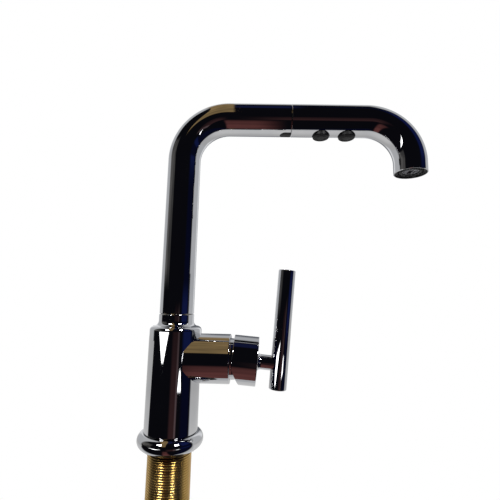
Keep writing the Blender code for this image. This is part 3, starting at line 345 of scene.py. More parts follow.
def bump(tree, shader, height, depth, strength=1.0):
    """Raise the surface by a height field, depth in metres."""
    made = shader_node(tree, "ShaderNodeBump")
    made.inputs["Strength"].default_value = strength
    made.inputs["Distance"].default_value = depth
    link(tree, height, made.inputs["Height"])
    link(tree, made.outputs[0], shader.inputs["Normal"])


def polished_chrome():
    """Chrome plate: mirror bright, faint polishing waves, a few dried water marks and fine wear."""
    made, tree, shader = material("polished_chrome", (0.60, 0.605, 0.62), 1.0, 0.03)
    film_and_root_shade = noise(tree, 55.0, 5.0)
    spots = noise(tree, 420.0, 2.0)
    haze = sum_of(tree, "MULTIPLY", spread(tree, film_and_root_shade, 0.0, 1.0, 0.50, 0.72),
                  spread(tree, spots, 0.0, 1.0, 0.56, 0.66))
    rough = sum_of(tree, "MULTIPLY_ADD", haze, 0.055)
    rough.node.inputs[2].default_value = 0.022
    link(tree, rough, shader.inputs["Roughness"])
    link(tree, tint(tree, film_and_root_shade, (0.585, 0.59, 0.605), (0.635, 0.635, 0.645)),
         shader.inputs["Base Color"])
    waves = noise(tree, 26.0, 1.0)
    bump(tree, shader, waves, 0.00006, 0.35)
    return made


CHROME = polished_chrome()


def eased(outline):
    """Add a point close to each end of the long straights, so shading stays true beside curves."""
    points = []
    for (r0, h0), (r1, h1) in zip(outline, outline[1:]):
        points.append((r0, h0))
        length = math.hypot(r1 - r0, h1 - h0)
        if length > 0.0012:
            share = 0.00025 / length
            points.append((r0 + (r1 - r0) * share, h0 + (h1 - h0) * share))
            points.append((r1 + (r0 - r1) * share, h1 + (h0 - h1) * share))
    points.append(outline[-1])
    return points


def arc(centre, radius, start, end, steps):
    """Points on an arc of an outline, degrees from +radius towards +height."""
    angles = np.radians(np.linspace(start, end, steps + 1))
    return [(centre[0] + radius * math.cos(a), centre[1] + radius * math.sin(a)) for a in angles]


def revolve(name, outline, place=UPRIGHT, sides=144, closed=True):
    """A turned solid.  The outline (radius, height) runs down its outer side and up its bore."""
    loop = eased(list(outline) + ([outline[0]] if closed else []))
    if closed:
        loop = loop[:-1]
    nothing = 1e-7
    loop = [here for before, here in zip(loop[-1:] + loop, loop)
            if math.dist(before, here) > nothing]
    cage = bmesh.new()
    rings = []
    for radius, height in loop:
        if radius < nothing:
            rings.append([cage.verts.new((0.0, 0.0, height))])
            continue
        rings.append([cage.verts.new((radius * math.cos(a), radius * math.sin(a), height))
                      for a in np.linspace(0.0, 2.0 * math.pi, sides, endpoint=False)])
    for first, second in zip(rings, rings[1:] + (rings[:1] if closed else [])):
        if len(first) == 1 and len(second) == 1:
            continue
        for i in range(sides):
            j = (i + 1) % sides
            corners = [first[i % len(first)], second[i % len(second)],
                       second[j % len(second)], first[j % len(first)]]
            cage.faces.new(list(dict.fromkeys(corners)))
    return solid(name, cage, place)


def solid(name, cage, place=UPRIGHT, crease=28.0):
    """Finish a cage as an object with smooth faces and sharp edges."""
    bmesh.ops.recalc_face_normals(cage, faces=cage.faces)
    mesh = bpy.data.meshes.new(name)
    cage.to_mesh(mesh)
    cage.free()
    mesh.transform(place)
    mesh.shade_smooth()
    mesh.set_sharp_from_angle(angle=math.radians(crease))
    made = bpy.data.objects.new(name, mesh)
    scene.collection.objects.link(made)
    return made


def combine(piece, tools, operation="DIFFERENCE", crease=28.0):
    """Cut a piece with tools, or join them to it, merge what the cuts leave and keep edges crisp."""
    sliver = 0.000002
    for tool in tools:
        step = piece.modifiers.new(tool.name, "BOOLEAN")
        step.operation = operation
        step.object = tool
        step.solver = "EXACT"
    bpy.context.view_layer.update()
    seen = piece.evaluated_get(bpy.context.evaluated_depsgraph_get())
    mesh = bpy.data.meshes.new_from_object(seen)
    piece.modifiers.clear()
    piece.data = mesh
    for tool in tools:
        bpy.data.objects.remove(tool)
    clean = bmesh.new()
    clean.from_mesh(mesh)
    bmesh.ops.remove_doubles(clean, verts=clean.verts, dist=sliver)
    bmesh.ops.dissolve_degenerate(clean, edges=clean.edges, dist=sliver)
    clean.to_mesh(mesh)
    clean.free()
    mesh.shade_smooth()
    mesh.set_sharp_from_angle(angle=math.radians(crease))
    return piece


def rod(name, radius, start, end, sides=144):
    """A plain round tool between two points."""
    start, end = Vector(start), Vector(end)
    turn = (end - start).to_track_quat("Z", "Y").to_matrix().to_4x4()
    length = (end - start).length
    outline = [(0.0, length), (radius, length), (radius, 0.0), (0.0, 0.0)]
    return revolve(name, outline, Matrix.Translation(start) @ turn, sides, False)


def piece_of(made, body, look, slot, *replaced):
    """Give a piece its material; the slot argument is not used. It rides on its body and stands for
    CAD nodes.
    """
    made.data.materials.clear()
    made.data.materials.append(look)
    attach(made, body)
    if replaced:
        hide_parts(*replaced)


def mixer_body():
    """Barrel, shoulder, neck and stub as one, bored for the post and the cartridge."""
    barrel_r, shoulder_r, neck_r, fillet_r = 0.0210, 0.0033, 0.01425, 0.0042
    foot, shoulder_z, neck_z = 0.0119, 0.0895, 0.1023
    outline = [(0.0, neck_z), (neck_r - 0.0004, neck_z)]
    outline += arc((neck_r - 0.0004, neck_z - 0.0004), 0.0004, 90, 0, 4)
    outline += arc((neck_r + fillet_r, shoulder_z + shoulder_r + fillet_r), fillet_r, 180, 270, 18)
    outline += arc((barrel_r - shoulder_r, shoulder_z), shoulder_r, 90, 0, 18)
    outline += arc((barrel_r - 0.0004, foot + 0.0004), 0.0004, 0, -90, 4)
    outline += [(0.0, foot)]
    body = revolve("mixer_body", outline, UPRIGHT, 256, False)
    stub_r, bore_r, end_x = 0.0195, 0.0165, 0.0456
    stub_outline = [(0.0, end_x)] + arc((stub_r - 0.0005, end_x - 0.0005), 0.0005, 90, 0, 5)
    stub_outline += [(stub_r, 0.0105), (0.0, 0.0105)]
    stub = revolve("stub", stub_outline, STUB_LINE, 256, False)
    combine(body, [stub], "UNION")
    inside = revolve("inside", [(0.0, 0.11), (0.0133, 0.11), (0.0133, 0.1008), (0.0128, 0.1008),
                                (0.0128, 0.0863), (0.0162, 0.0863), (0.0162, 0.0803),
                                (0.0174, 0.0803), (0.0174, 0.0), (0.0, 0.0)], UPRIGHT, 96, False)
    well = rod("well", bore_r, (0.0081, 0, PIVOT.z), (end_x + 0.01, 0, PIVOT.z), 128)
    combine(body, [inside, well])
    piece_of(body, "base", CHROME, "chrome", "mixer_body")


mixer_body()

# ----------------------------------------------------------------------------------------------
# Base flange: a turned ring with a full round edge that covers the worktop's hole, plated like the
# body.  A rubber gasket is let into its underside.
# ----------------------------------------------------------------------------------------------


def black_rubber():
    """Moulded rubber: dull, dusty in the hollows, with a fine skin."""
    made, tree, shader = material("black_rubber", (0.018, 0.018, 0.018), 0.0, 0.75)
    skin = noise(tree, 900.0, 3.0)
    link(tree, tint(tree, noise(tree, 90.0), (0.012, 0.012, 0.012), (0.035, 0.034, 0.033)),
         shader.inputs["Base Color"])
    link(tree, spread(tree, skin, 0.62, 0.88), shader.inputs["Roughness"])
    bump(tree, shader, skin, 0.00008, 0.5)
    return made


RUBBER = black_rubber()


def base_flange():
    """The round-edged ring, and the gasket in its groove."""
    section = (0.01975, 0.0060)
    outline = arc(section, 0.0060, 68.0, -66.0, 40)
    outline += [(0.0222, 0.0005), (0.0222, 0.0023), (0.0181, 0.0023), (0.0181, 0.0005),
                (0.0174, 0.0005), (0.0174, 0.0116)]
    piece_of(revolve("base_flange", outline, UPRIGHT, 256), "base", CHROME, "chrome",
             "base_flange")
    outline = [(0.0184, 0.0018), (0.0186, 0.0020), (0.0217, 0.0020), (0.0219, 0.0018),
               (0.0219, 0.0002), (0.0217, 0.0), (0.0186, 0.0), (0.0184, 0.0002)]
    piece_of(revolve("base_gasket", outline), "base", RUBBER, "rubber", "base_gasket")


base_flange()

# ----------------------------------------------------------------------------------------------
# Threaded shank: brass tube cut with a fine thread, 14 turns to the inch, left bare.  It screws
# up into the body and carries the washers and the nut that pull the tap down on the worktop.
# ----------------------------------------------------------------------------------------------


def bare_brass(name, dark, light, cut_along):
    """Machined brass: warm, a little tarnished in blotches, fine tool lines round the work."""
    made, tree, shader = material(name, light, 1.0, 0.20)
    link(tree, tint(tree, noise(tree, 60.0, 4.0), dark, light), shader.inputs["Base Color"])
    lines = noise(tree, 300.0, 3.0, cut_along)
    link(tree, spread(tree, lines, 0.16, 0.25), shader.inputs["Roughness"])
    bump(tree, shader, lines, 0.000008, 0.4)
    return made


BRASS = bare_brass("bare_brass", (0.66, 0.41, 0.11), (0.82, 0.56, 0.20), (0.05, 0.05, 6.0))


def stainless():
    """Pressed stainless steel: grey, lightly brushed."""
    made, tree, shader = material("stainless", (0.58, 0.58, 0.60), 1.0, 0.32)
    brush = noise(tree, 260.0, 4.0, (8.0, 0.3, 1.0))
    link(tree, tint(tree, brush, (0.46, 0.46, 0.48), (0.66, 0.66, 0.68)),
         shader.inputs["Base Color"])
    link(tree, spread(tree, brush, 0.24, 0.42), shader.inputs["Roughness"])
    bump(tree, shader, brush, 0.00002, 0.4)
    return made


STEEL = stainless()


def thread_brass(crest, root):
    """The same brass, with painted shade between the radii of crest and root that darkens the
    thread's roots.
    """
    made = bare_brass("thread_brass", (0.66, 0.42, 0.12), (0.80, 0.55, 0.20), (0.05, 0.05, 6.0))
    tree = made.node_tree
    split = shader_node(tree, "ShaderNodeSeparateXYZ")
    link(tree, shader_node(tree, "ShaderNodeTexCoord").outputs["Object"], split.inputs[0])
    squares = [sum_of(tree, "MULTIPLY", axis, axis) for axis in split.outputs[:2]]
    radius = sum_of(tree, "SQRT", sum_of(tree, "ADD", *squares), 0.0)
    base = tree.nodes["Principled BSDF"].inputs["Base Color"]
    # Painted shade: the brass colour (clean, before the shade) is multiplied by a tint that runs
    # from white at the crest's radius to dark brown at the root's.
    clean = base.links[0].from_socket
    film_and_root_shade = shader_node(tree, "ShaderNodeMix", data_type="RGBA", blend_type="MULTIPLY")
    film_and_root_shade.inputs["Factor"].default_value = 1.0
    link(tree, clean, film_and_root_shade.inputs[MIX_A])
    link(tree, tint(tree, radius, (0.20, 0.15, 0.10), (1.0, 1.0, 1.0), root, crest),
         film_and_root_shade.inputs[MIX_B])
    link(tree, film_and_root_shade.outputs[2], base)
    return made


def threaded_shank():
    """The thread is cut along a true helix: round crests, sharp roots, run out at both ends."""
    outer, bore, top, bottom = 0.0171, 0.0150, 0.0517, -0.0690
    pitch, depth, start, chamfer = 0.001814, 0.00070, 0.0100, 0.0006
    sides, rows = 96, 8
    last = round((start - bottom - chamfer) / pitch - 1) * rows
    cage = bmesh.new()

    def corner(radius, side, height):
        """A vertex of the tube."""
        angle = 2.0 * math.pi * side / sides
        return cage.verts.new((radius * math.cos(angle), radius * math.sin(angle), height))

    def cut(row, side):
        """A vertex of the thread; rows run down the helix, so row 8 starts where row 0 ends."""
        turns = row / rows + side / sides
        height = start - pitch * turns
        crest = abs(math.cos(math.pi * row / rows))
        run_in = min(1.0, max(0.0, turns - 1.0))
        run_out = min(1.0, max(0.0, 1.0 - (height - bottom - chamfer) / pitch))
        sunk = max((1.0 - crest) * run_in, run_out)
        return corner(outer - depth * sunk, side, height)

    thread = [[cut(row, side) for side in range(sides)] for row in range(last + 1)]
    rim, foot, inner_foot, inner_top = (
        [corner(radius, side, height) for side in range(sides)]
        for radius, height in ((outer, top), (outer - depth - 0.0002, bottom), (bore, bottom),
                               (bore, top)))
    for i in range(sides):
        j = (i + 1) % sides
        for first, second in ((foot, inner_foot), (inner_foot, inner_top), (inner_top, rim)):
            cage.faces.new((first[i], second[i], second[j], first[j]))
        if j:
            cage.faces.new((rim[i], thread[0][i], thread[0][j], rim[j]))
            cage.faces.new((thread[-1][i], foot[i], foot[j], thread[-1][j]))
            for upper, lower in zip(thread, thread[1:]):
                cage.faces.new((upper[i], lower[i], lower[j], upper[j]))
        else:
            for row in range(last - rows):
                cage.faces.new((thread[row][i], thread[row + 1][i], thread[row + 1 + rows][0],
                                thread[row + rows][0]))
            first_turn = [thread[row][0] for row in range(rows, -1, -1)]
            cage.faces.new([rim[i], thread[0][i]] + first_turn + [rim[0]])
            last_turn = [thread[row][i] for row in range(last - rows, last + 1)]
            cage.faces.new(last_turn + [foot[i], foot[0], thread[last][0]])
    # Brass with painted shade in the thread's roots.
    made = thread_brass(outer - 0.00005, outer - depth + 0.00015)
    piece_of(solid("threaded_shank", cage, UPRIGHT, 60.0), "base", made, "brass",
             "threaded_shank")


def deck_clamp():
    """Fibre washer, steel washer with rounded edges and a chamfered hexagonal nut."""
    def washer(top, thick, edge):
        """Outline of a washer with rounded outer edges."""
        outline = arc((0.026 - edge, top - edge), edge, 90, 0, 4)
        outline += arc((0.026 - edge, top - thick + edge), edge, 0, -90, 4)
        return outline + [(0.0174, top - thick), (0.0174, top)]

    piece_of(revolve("fibre_washer", washer(-0.0500, 0.0025, 0.0004)), "base", RUBBER, "rubber",
             "fibre_washer")
    piece_of(revolve("steel_washer", washer(-0.0528, 0.0020, 0.0003)), "base", STEEL, "steel",
             "steel_washer")
    top, height, reach = -0.0551, 0.0100, 0.0265
    hexagon = revolve("mounting_nut", [(0.0, top), (reach, top), (reach, top - height),
                                       (0.0, top - height)], UPRIGHT, 6, False)
    flats = reach * math.cos(math.pi / 6)
    rise = (reach - flats) * math.tan(math.radians(30)) + 0.0004
    over, under = top + 0.0001, top - height - 0.0001
    lens = revolve("nut_bevel", [(0.0, over), (flats - 0.0006, over),
                                 (reach + 0.0003, top - rise),
                                 (reach + 0.0003, top - height + rise),
                                 (flats - 0.0006, under), (0.0, under)], UPRIGHT, 96, False)
    combine(hexagon, [lens], "INTERSECT")
    combine(hexagon, [rod("nut_bore", 0.0174, (0, 0, top - 0.02), (0, 0, top + 0.01), 96)])
    piece_of(hexagon, "base", BRASS, "brass", "mounting_nut")


threaded_shank()
deck_clamp()

# ----------------------------------------------------------------------------------------------
# Bonnet ball: a thin chromed ball screwed over the cartridge.  The handle's cup swings round it,
# and it shows as a dark line between the stub and the cup.
# ----------------------------------------------------------------------------------------------


def bonnet_ball():
    """A thin ball, open at its outer end for the lever's stem."""
    ball_r, inner_r, mouth_r = 0.0162, 0.0148, 0.0112
    outline = arc((0.0, PIVOT.x), ball_r, math.degrees(math.acos(mouth_r / ball_r)), 0, 24)
    outline += [(ball_r, 0.0386), (inner_r, 0.0386)]
    outline += arc((0.0, PIVOT.x), inner_r, 0, math.degrees(math.acos(mouth_r / inner_r)), 24)
    piece_of(revolve("bonnet_ball", outline, STUB_LINE, 160), "base", CHROME, "chrome",
             "bonnet_ball")


bonnet_ball()

# ----------------------------------------------------------------------------------------------
# Lever: a turned cup with a slim neck, its lower back relieved so it can tip outwards, and a
# straight round bar held to the neck by a stud.  All plated; the grub screw hides underneath.
# ----------------------------------------------------------------------------------------------
REST_TILT = math.radians(4.35)
LEVER = Matrix.Translation(PIVOT) @ Matrix.Rotation(REST_TILT + math.pi / 2, 4, "Y")
BAR_AT = 0.03935
BAR_R = 0.0071


def lever_point(along, up):
    """A point given along the lever's own axis and up its bar."""
    return PIVOT + Matrix.Rotation(REST_TILT, 3, "Y") @ Vector((along, 0.0, up))


def handle_hub():
    """The cup and neck, saddled for the bar and relieved at the lower back."""
    hub_r, back, front, neck_r, fillet_r = 0.0193, 0.0011, 0.0212, 0.0059, 0.0030
    cup_r, bore_r, stud_r, edge = 0.0170, 0.0038, 0.0023, 0.0005
    outline = [(neck_r, BAR_AT)]
    outline += arc((neck_r + fillet_r, front + fillet_r), fillet_r, 180, 270, 16)
    outline += arc((hub_r - edge, front - edge), edge, 90, 0, 6)
    outline += arc((hub_r - edge, back + edge), edge, 0, -90, 6)
    outline += [(cup_r, back), (cup_r, 0.0170), (bore_r, 0.0170), (bore_r, 0.0283),
                (stud_r, 0.0283), (stud_r, BAR_AT)]
    hub = revolve("handle_hub", outline, LEVER, 224)
    saddle = rod("saddle", BAR_R + GAP, lever_point(BAR_AT, -0.02), lever_point(BAR_AT, 0.02))
    cage = bmesh.new()
    bmesh.ops.create_cube(cage, size=0.03)
    turn = Matrix.Rotation(REST_TILT - math.radians(25.8), 4, "Y")
    relief = solid("relief", cage, Matrix.Translation(lever_point(back, -0.0044)) @ turn
                   @ Matrix.Translation((-0.015, 0.0, -0.015)) @ Matrix.Diagonal((1, 1.6, 1, 1)))
    screw = rod("screw_hole", 0.0018, lever_point(0.0262, 0.0), lever_point(0.0262, -0.012), 32)
    combine(hub, [saddle, relief, screw])
    piece_of(hub, "lever", CHROME, "chrome", "handle_hub")


def handle_bar():
    """A round bar with eased ends and a blind hole for the stud."""
    up, down, edge = 0.0762, 0.0199, 0.0007
    outline = [(0.0, up)] + arc((BAR_R - edge, up - edge), edge, 90, 0, 6)
    outline += arc((BAR_R - edge, -down + edge), edge, 0, -90, 6) + [(0.0, -down)]
    place = Matrix.Translation(lever_point(BAR_AT, 0)) @ Matrix.Rotation(REST_TILT, 4, "Y")
    bar = revolve("handle_bar", outline, place, 128, False)
    combine(bar, [rod("stud_hole", 0.0023, lever_point(0.02, 0), lever_point(0.0402, 0), 32)])
    piece_of(bar, "lever", CHROME, "chrome", "handle_bar")


handle_hub()
handle_bar()

# ----------------------------------------------------------------------------------------------
# Spout: 28 mm brass tube bent once on a 39.5 mm radius, polished and plated.  Its open end is
# notched below for the spray head's tab, and its foot turns on a brass post in two nylon bushes.
# ----------------------------------------------------------------------------------------------
ARM_Z = 0.2749
TUBE_R = 0.0140
SEAM_X = 0.0937
SEAM_HALF = 0.00015


def stations(start, corner_radius, corner, end, steps):
    """Points and directions from start, round one right-angled corner, to end."""
    start, corner, end = Vector(start), Vector(corner), Vector(end)
    back, on = (start - corner).normalized(), (end - corner).normalized()
    centre = corner + (back + on) * corner_radius
    bend = []
    for angle in np.linspace(0.0, math.pi / 2, steps + 1):
        point = centre - on * corner_radius * math.cos(angle) \
            - back * corner_radius * math.sin(angle)
        bend.append((point, (on * math.sin(angle) - back * math.cos(angle)).normalized()))
    before = [(start, -back)]
    after = [(end, on)]
    for (first, second), line in (((start, bend[0][0]), before), ((bend[-1][0], end), after)):
        length = (second - first).length
        if length > 0.004:
            direction = (second - first).normalized()
            inner = [(first + direction * (0.001 if line is before else 0.0008), direction),
                     (second - direction * 0.001, direction)]
            if line is before:
                before += inner
            else:
                after = inner + after
    return before + bend + after


def hoop(cage, point, along, radius, sides):
    """One ring of vertices across a tube that runs in the XZ plane."""
    side = Vector((0.0, 1.0, 0.0))
    up = along.cross(side)
    return [cage.verts.new(point + side * (radius * math.cos(a)) + up * (radius * math.sin(a)))
            for a in np.linspace(0.0, 2.0 * math.pi, sides, endpoint=False)]


def tube(name, route, radius, bore, sides=160, edge=0.0003):
    """A bent tube with a true wall and slightly eased ends."""
    cage = bmesh.new()
    (first, d0), (last, d1) = route[0], route[-1]
    shape = [(first, d0, bore), (first, d0, radius - edge), (first + d0 * edge, d0, radius)]
    shape += [(p, d, radius) for p, d in route[1:-1]]
    shape += [(last - d1 * edge, d1, radius), (last, d1, radius - edge), (last, d1, bore)]
    shape += [(p, d, bore) for p, d in reversed(route[1:-1])]
    rings = [hoop(cage, p, d, r, sides) for p, d, r in shape]
    for one, two in zip(rings, rings[1:] + rings[:1]):
        for i in range(sides):
            j = (i + 1) % sides
            cage.faces.new((one[i], two[i], two[j], one[j]))
    return solid(name, cage)


def slot_tool(name, start_x, end_x, width, low, high):
    """A slot along X with a round inner end, as a cutting or joining tool."""
    half = width / 2
    outline = [(end_x, -half), (end_x, half)]
    outline += [(start_x + half + half * math.cos(a), half * math.sin(a))
                for a in np.linspace(math.pi / 2, 1.5 * math.pi, 25)]
    cage = bmesh.new()
    lower = [cage.verts.new((x, y, low)) for x, y in outline]
    upper = [cage.verts.new((x, y, high)) for x, y in outline]
    cage.faces.new(lower[::-1])
    cage.faces.new(upper)
    for i in range(len(outline)):
        j = (i + 1) % len(outline)
        cage.faces.new((lower[i], lower[j], upper[j], upper[i]))
    return solid(name, cage)


def spout_tube():
    """The bent tube, with a notch below its open end."""
    route = stations((0, 0, 0.1028), 0.0395, (0, 0, ARM_Z), (SEAM_X - SEAM_HALF, 0, ARM_Z), 72)
    spout = tube("spout_tube", route, TUBE_R, 0.0125)
    notch = slot_tool("notch", SEAM_X - 0.0098, SEAM_X + 0.002, 0.0090, ARM_Z - 0.016,
                      ARM_Z - 0.0100)
    combine(spout, [notch])
    piece_of(spout, "spout", CHROME, "chrome", "spout_tube")


spout_tube()

# ----------------------------------------------------------------------------------------------
# Pull-out hose: rubber under a tight grey nylon braid.  It comes up through the shank and riser,
# rounds the corner and is crimped to the spray head, which draws it out of the arm.
# ----------------------------------------------------------------------------------------------


def braided_nylon():
    """Diamond braid worked out along and round the hose, whichever way it runs."""
    made, tree, shader = material("braided_nylon", (0.30, 0.31, 0.33), 0.0, 0.5)
    place = shader_node(tree, "ShaderNodeTexCoord").outputs["Object"]
    split = shader_node(tree, "ShaderNodeSeparateXYZ")
    link(tree, place, split.inputs[0])
    x, y, z = split.outputs
    arm = sum_of(tree, "GREATER_THAN", z, ARM_Z - 0.02)
    across = shader_node(tree, "ShaderNodeMix", data_type="FLOAT")
    link(tree, arm, across.inputs[0])
    link(tree, x, across.inputs[2])
    link(tree, sum_of(tree, "SUBTRACT", z, ARM_Z), across.inputs[3])
    turn = sum_of(tree, "MULTIPLY", sum_of(tree, "ARCTAN2", y, across.outputs[0]), 8.0)
    along = sum_of(tree, "MULTIPLY", sum_of(tree, "SUBTRACT", x, z), 1500.0)
    left = sum_of(tree, "SINE", sum_of(tree, "ADD", turn, along), 0.0)
    right_hand = sum_of(tree, "SINE", sum_of(tree, "SUBTRACT", turn, along), 0.0)
    weave = sum_of(tree, "MULTIPLY", left, right_hand)
    link(tree, tint(tree, weave, (0.10, 0.10, 0.11), (0.46, 0.47, 0.49), -0.7, 0.7),
         shader.inputs["Base Color"])
    link(tree, spread(tree, noise(tree, 500.0), 0.40, 0.62), shader.inputs["Roughness"])
    bump(tree, shader, weave, 0.0003, 0.8)
    return made


def pull_out_hose():
    """One hose; its short stretch inside the arm is what draws out."""
    route = stations((0, 0, -0.0740), 0.0395, (0, 0, ARM_Z), (0.0420, 0, ARM_Z), 40)
    drawn = [(Vector((x, 0, ARM_Z)), Vector((1, 0, 0))) for x in np.linspace(0.0422, 0.0600, 60)]
    drawn += [(Vector((x, 0, ARM_Z)), Vector((1, 0, 0))) for x in (0.0605, 0.0680, 0.0756)]
    hose = tube("pull_out_hose", route + drawn, 0.0063, 0.0040, 40)
    hose.data.materials.append(braided_nylon())
    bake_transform(hose)
    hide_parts("pull_out_hose")


def hose_tail():
    """Hexagon and thread on the hose's lower end, turned from brass; the hexagon is made round here.
    """
    top = -0.0743
    outline = [(0.0070, top), (0.0070, top - 0.0088), (0.0068, top - 0.0090),
               (0.0055, top - 0.0094)]
    for turn in range(8):
        crest = top - 0.0100 - turn * 0.00095
        outline += [(0.0049, crest), (0.0055, crest - 0.00045)]
    outline += [(0.0050, top - 0.0180), (0.0035, top - 0.0180), (0.0035, top)]
    piece_of(revolve("hose_tail", outline, UPRIGHT, 72), "base", BRASS, "brass", "hose_tail")


pull_out_hose()
hose_tail()

# ----------------------------------------------------------------------------------------------
# Spray head: plated shell in line with the arm, turned down at its end.  Its black spigot docks in
# the arm, and the spigot's tab shows in the notch below the seam.
# ----------------------------------------------------------------------------------------------
HEAD_BEND_X = 0.1598
HEAD_BEND_R = 0.0384
OUTLET_X = HEAD_BEND_X + HEAD_BEND_R
OUTLET_Z = ARM_Z - HEAD_BEND_R - 0.0091
BUTTONS = (("spray", "spray_key", 0.1203), ("pause", "pause_key", 0.1430))
BUTTON_R = 0.0073
BUTTON_FACE = ARM_Z - TUBE_R - 0.0021
BUTTON_FLOOR = BUTTON_FACE + 0.0018


def moulded_black():
    """Moulded matt black plastic: fine spark texture, slightly polished where hands rub it."""
    made, tree, shader = material("moulded_black", (0.006, 0.006, 0.007), 0.0, 0.42)
    shader.inputs["Specular IOR Level"].default_value = 0.22
    grain = noise(tree, 1500.0, 2.0)
    rubbed = noise(tree, 60.0, 3.0)
    link(tree, tint(tree, rubbed, (0.004, 0.004, 0.005), (0.010, 0.010, 0.011)),
         shader.inputs["Base Color"])
    link(tree, spread(tree, rubbed, 0.34, 0.52), shader.inputs["Roughness"])
    bump(tree, shader, grain, 0.00002, 0.35)
    return made


BLACK = moulded_black()


def head_shell():
    """The shell's tube, with its button holes and its wider mouth."""
    route = stations((SEAM_X + SEAM_HALF, 0, ARM_Z), HEAD_BEND_R, (OUTLET_X, 0, ARM_Z),
                     (OUTLET_X, 0, OUTLET_Z), 72)
    shell = tube("head_shell", route, TUBE_R, 0.0125)
    holes = [rod(name + "_hole", BUTTON_R + 0.0004, (x, 0, ARM_Z - 0.02), (x, 0, ARM_Z - 0.004), 96)
             for name, _, x in BUTTONS]
    mouth = rod("mouth", TUBE_R - 0.0007, (OUTLET_X, 0, OUTLET_Z - 0.002),
                (OUTLET_X, 0, OUTLET_Z + 0.0070), 128)
    combine(shell, holes + [mouth])
    piece_of(shell, "spray_head", CHROME, "chrome", "head_shell")


def dock_spigot():
    """A ringed spigot with the tab that keys the head to the arm."""
    along = Matrix.Translation((0, 0, ARM_Z)) @ Matrix.Rotation(math.pi / 2, 4, "Y")
    outer, bore = 0.0096, 0.0080
    outline = [(0.0121, SEAM_X + 0.0038), (0.0121, SEAM_X + 0.0004), (outer, SEAM_X + 0.0004)]
    for groove in (0.0860, 0.0770, 0.0710):
        outline += [(outer, groove), (outer - 0.0006, groove - 0.0004),
                    (outer - 0.0006, groove - 0.0014), (outer, groove - 0.0018)]
    outline += [(outer, 0.0668), (outer - 0.0006, 0.0660), (bore, 0.0660), (bore, 0.0975)]
    spigot = revolve("dock_spigot", outline, along, 96)
    tab = slot_tool("tab", SEAM_X - 0.0095, SEAM_X + 0.0030, 0.0084, ARM_Z - 0.0170,
                    ARM_Z - 0.0088)
    limit = revolve("tab_limit", [(0.0, 0.0936), (0.0135, 0.0936), (0.01365, 0.0933),
                                  (0.01365, 0.0846), (0.0130, 0.0840), (0.0, 0.0840)],
                    along, 128, False)
    combine(tab, [limit], "INTERSECT")
    combine(spigot, [tab], "UNION")
    piece_of(spigot, "spray_head", BLACK, "black_plastic", "dock_spigot")


def push_button(name, body, x):
    """Domed button with a rolled rim and three fine grip rings round its middle."""
    face, tall, wall = BUTTON_FACE, 0.0060, 0.0012
    outline = [(BUTTON_R, face + tall)]
    outline += arc((BUTTON_R - 0.0009, face + 0.0011), 0.0009, 0, -68, 10)
    crown = face + 0.0002
    for groove in (0.0058, 0.0048, 0.0038):
        rise = crown - 0.0002 * (1 - (groove / 0.0062) ** 2)
        outline += [(groove + 0.0003, rise), (groove, rise + 0.00025), (groove - 0.0003, rise)]
    outline += [(0.0020, face), (0.0, face), (0.0, BUTTON_FLOOR - 0.0008),
                (0.0023, BUTTON_FLOOR - 0.0008), (0.0023, BUTTON_FLOOR),
                (BUTTON_R - wall, BUTTON_FLOOR), (BUTTON_R - wall, face + tall)]
    button = revolve(name + "_button", outline, Matrix.Translation((x, 0, 0)), 96)
    piece_of(button, body, BLACK, "black_plastic", name + "_button")


def return_spring(name, x):
    """Steel wire coil between the button's floor and the roof of its pocket."""
    low, high = BUTTON_FLOOR + GAP, ARM_Z - 0.0081 - GAP
    wire, coil, sides, steps, turns = 0.00025, 0.0040, 8, 24, 3
    cage = bmesh.new()
    rings = []
    for step in range(steps * turns + 1):
        angle = 2.0 * math.pi * step / steps
        out = Vector((math.cos(angle), math.sin(angle), 0.0))
        middle = Vector((x, 0.0, low + wire)) + out * coil
        middle.z += (high - low - 2 * wire) * step / (steps * turns)
        rings.append([cage.verts.new(middle + wire * (out * math.cos(a)
                                                      + Vector((0, 0, math.sin(a)))))
                      for a in np.linspace(0, 2 * math.pi, sides, endpoint=False)])
    for one, two in zip(rings, rings[1:]):
        for i in range(sides):
            j = (i + 1) % sides
            cage.faces.new((one[i], one[j], two[j], two[i]))
    cage.faces.new(rings[0][::-1])
    cage.faces.new(rings[-1])
    spring = solid(name + "_spring", cage)
    spring.data.materials.append(STEEL)
    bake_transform(spring)
    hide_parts(name + "_spring")


head_shell()
dock_spigot()
for button_name, key_body, button_x in BUTTONS:
    push_button(button_name, key_body, button_x)
    return_spring(button_name, button_x)

# ----------------------------------------------------------------------------------------------
# Outlet: black spray face with a ring of soft nozzles, and in its middle the grey aerator with its
# moulded grille.  All of it sits just inside the shell's thin lip.
# ----------------------------------------------------------------------------------------------


def grey_moulding(name, pale=1.0):
    """Mid-grey acetal with a faint flow pattern; where asked for, pale scales the colour up as
    painted light.
    """
    made, tree, shader = material(name, (0.33, 0.34, 0.36), 0.0, 0.42)
    flow = noise(tree, 140.0, 5.0, (1.0, 1.0, 0.3))
    dark = (pale * 0.27, pale * 0.28, pale * 0.30)
    light = (pale * 0.40, pale * 0.41, pale * 0.43)
    link(tree, tint(tree, flow, dark, light), shader.inputs["Base Color"])
    link(tree, spread(tree, flow, 0.34, 0.52), shader.inputs["Roughness"])
    bump(tree, shader, noise(tree, 1300.0, 2.0), 0.00003, 0.5)
    return made


GREY = grey_moulding("grey_moulding")


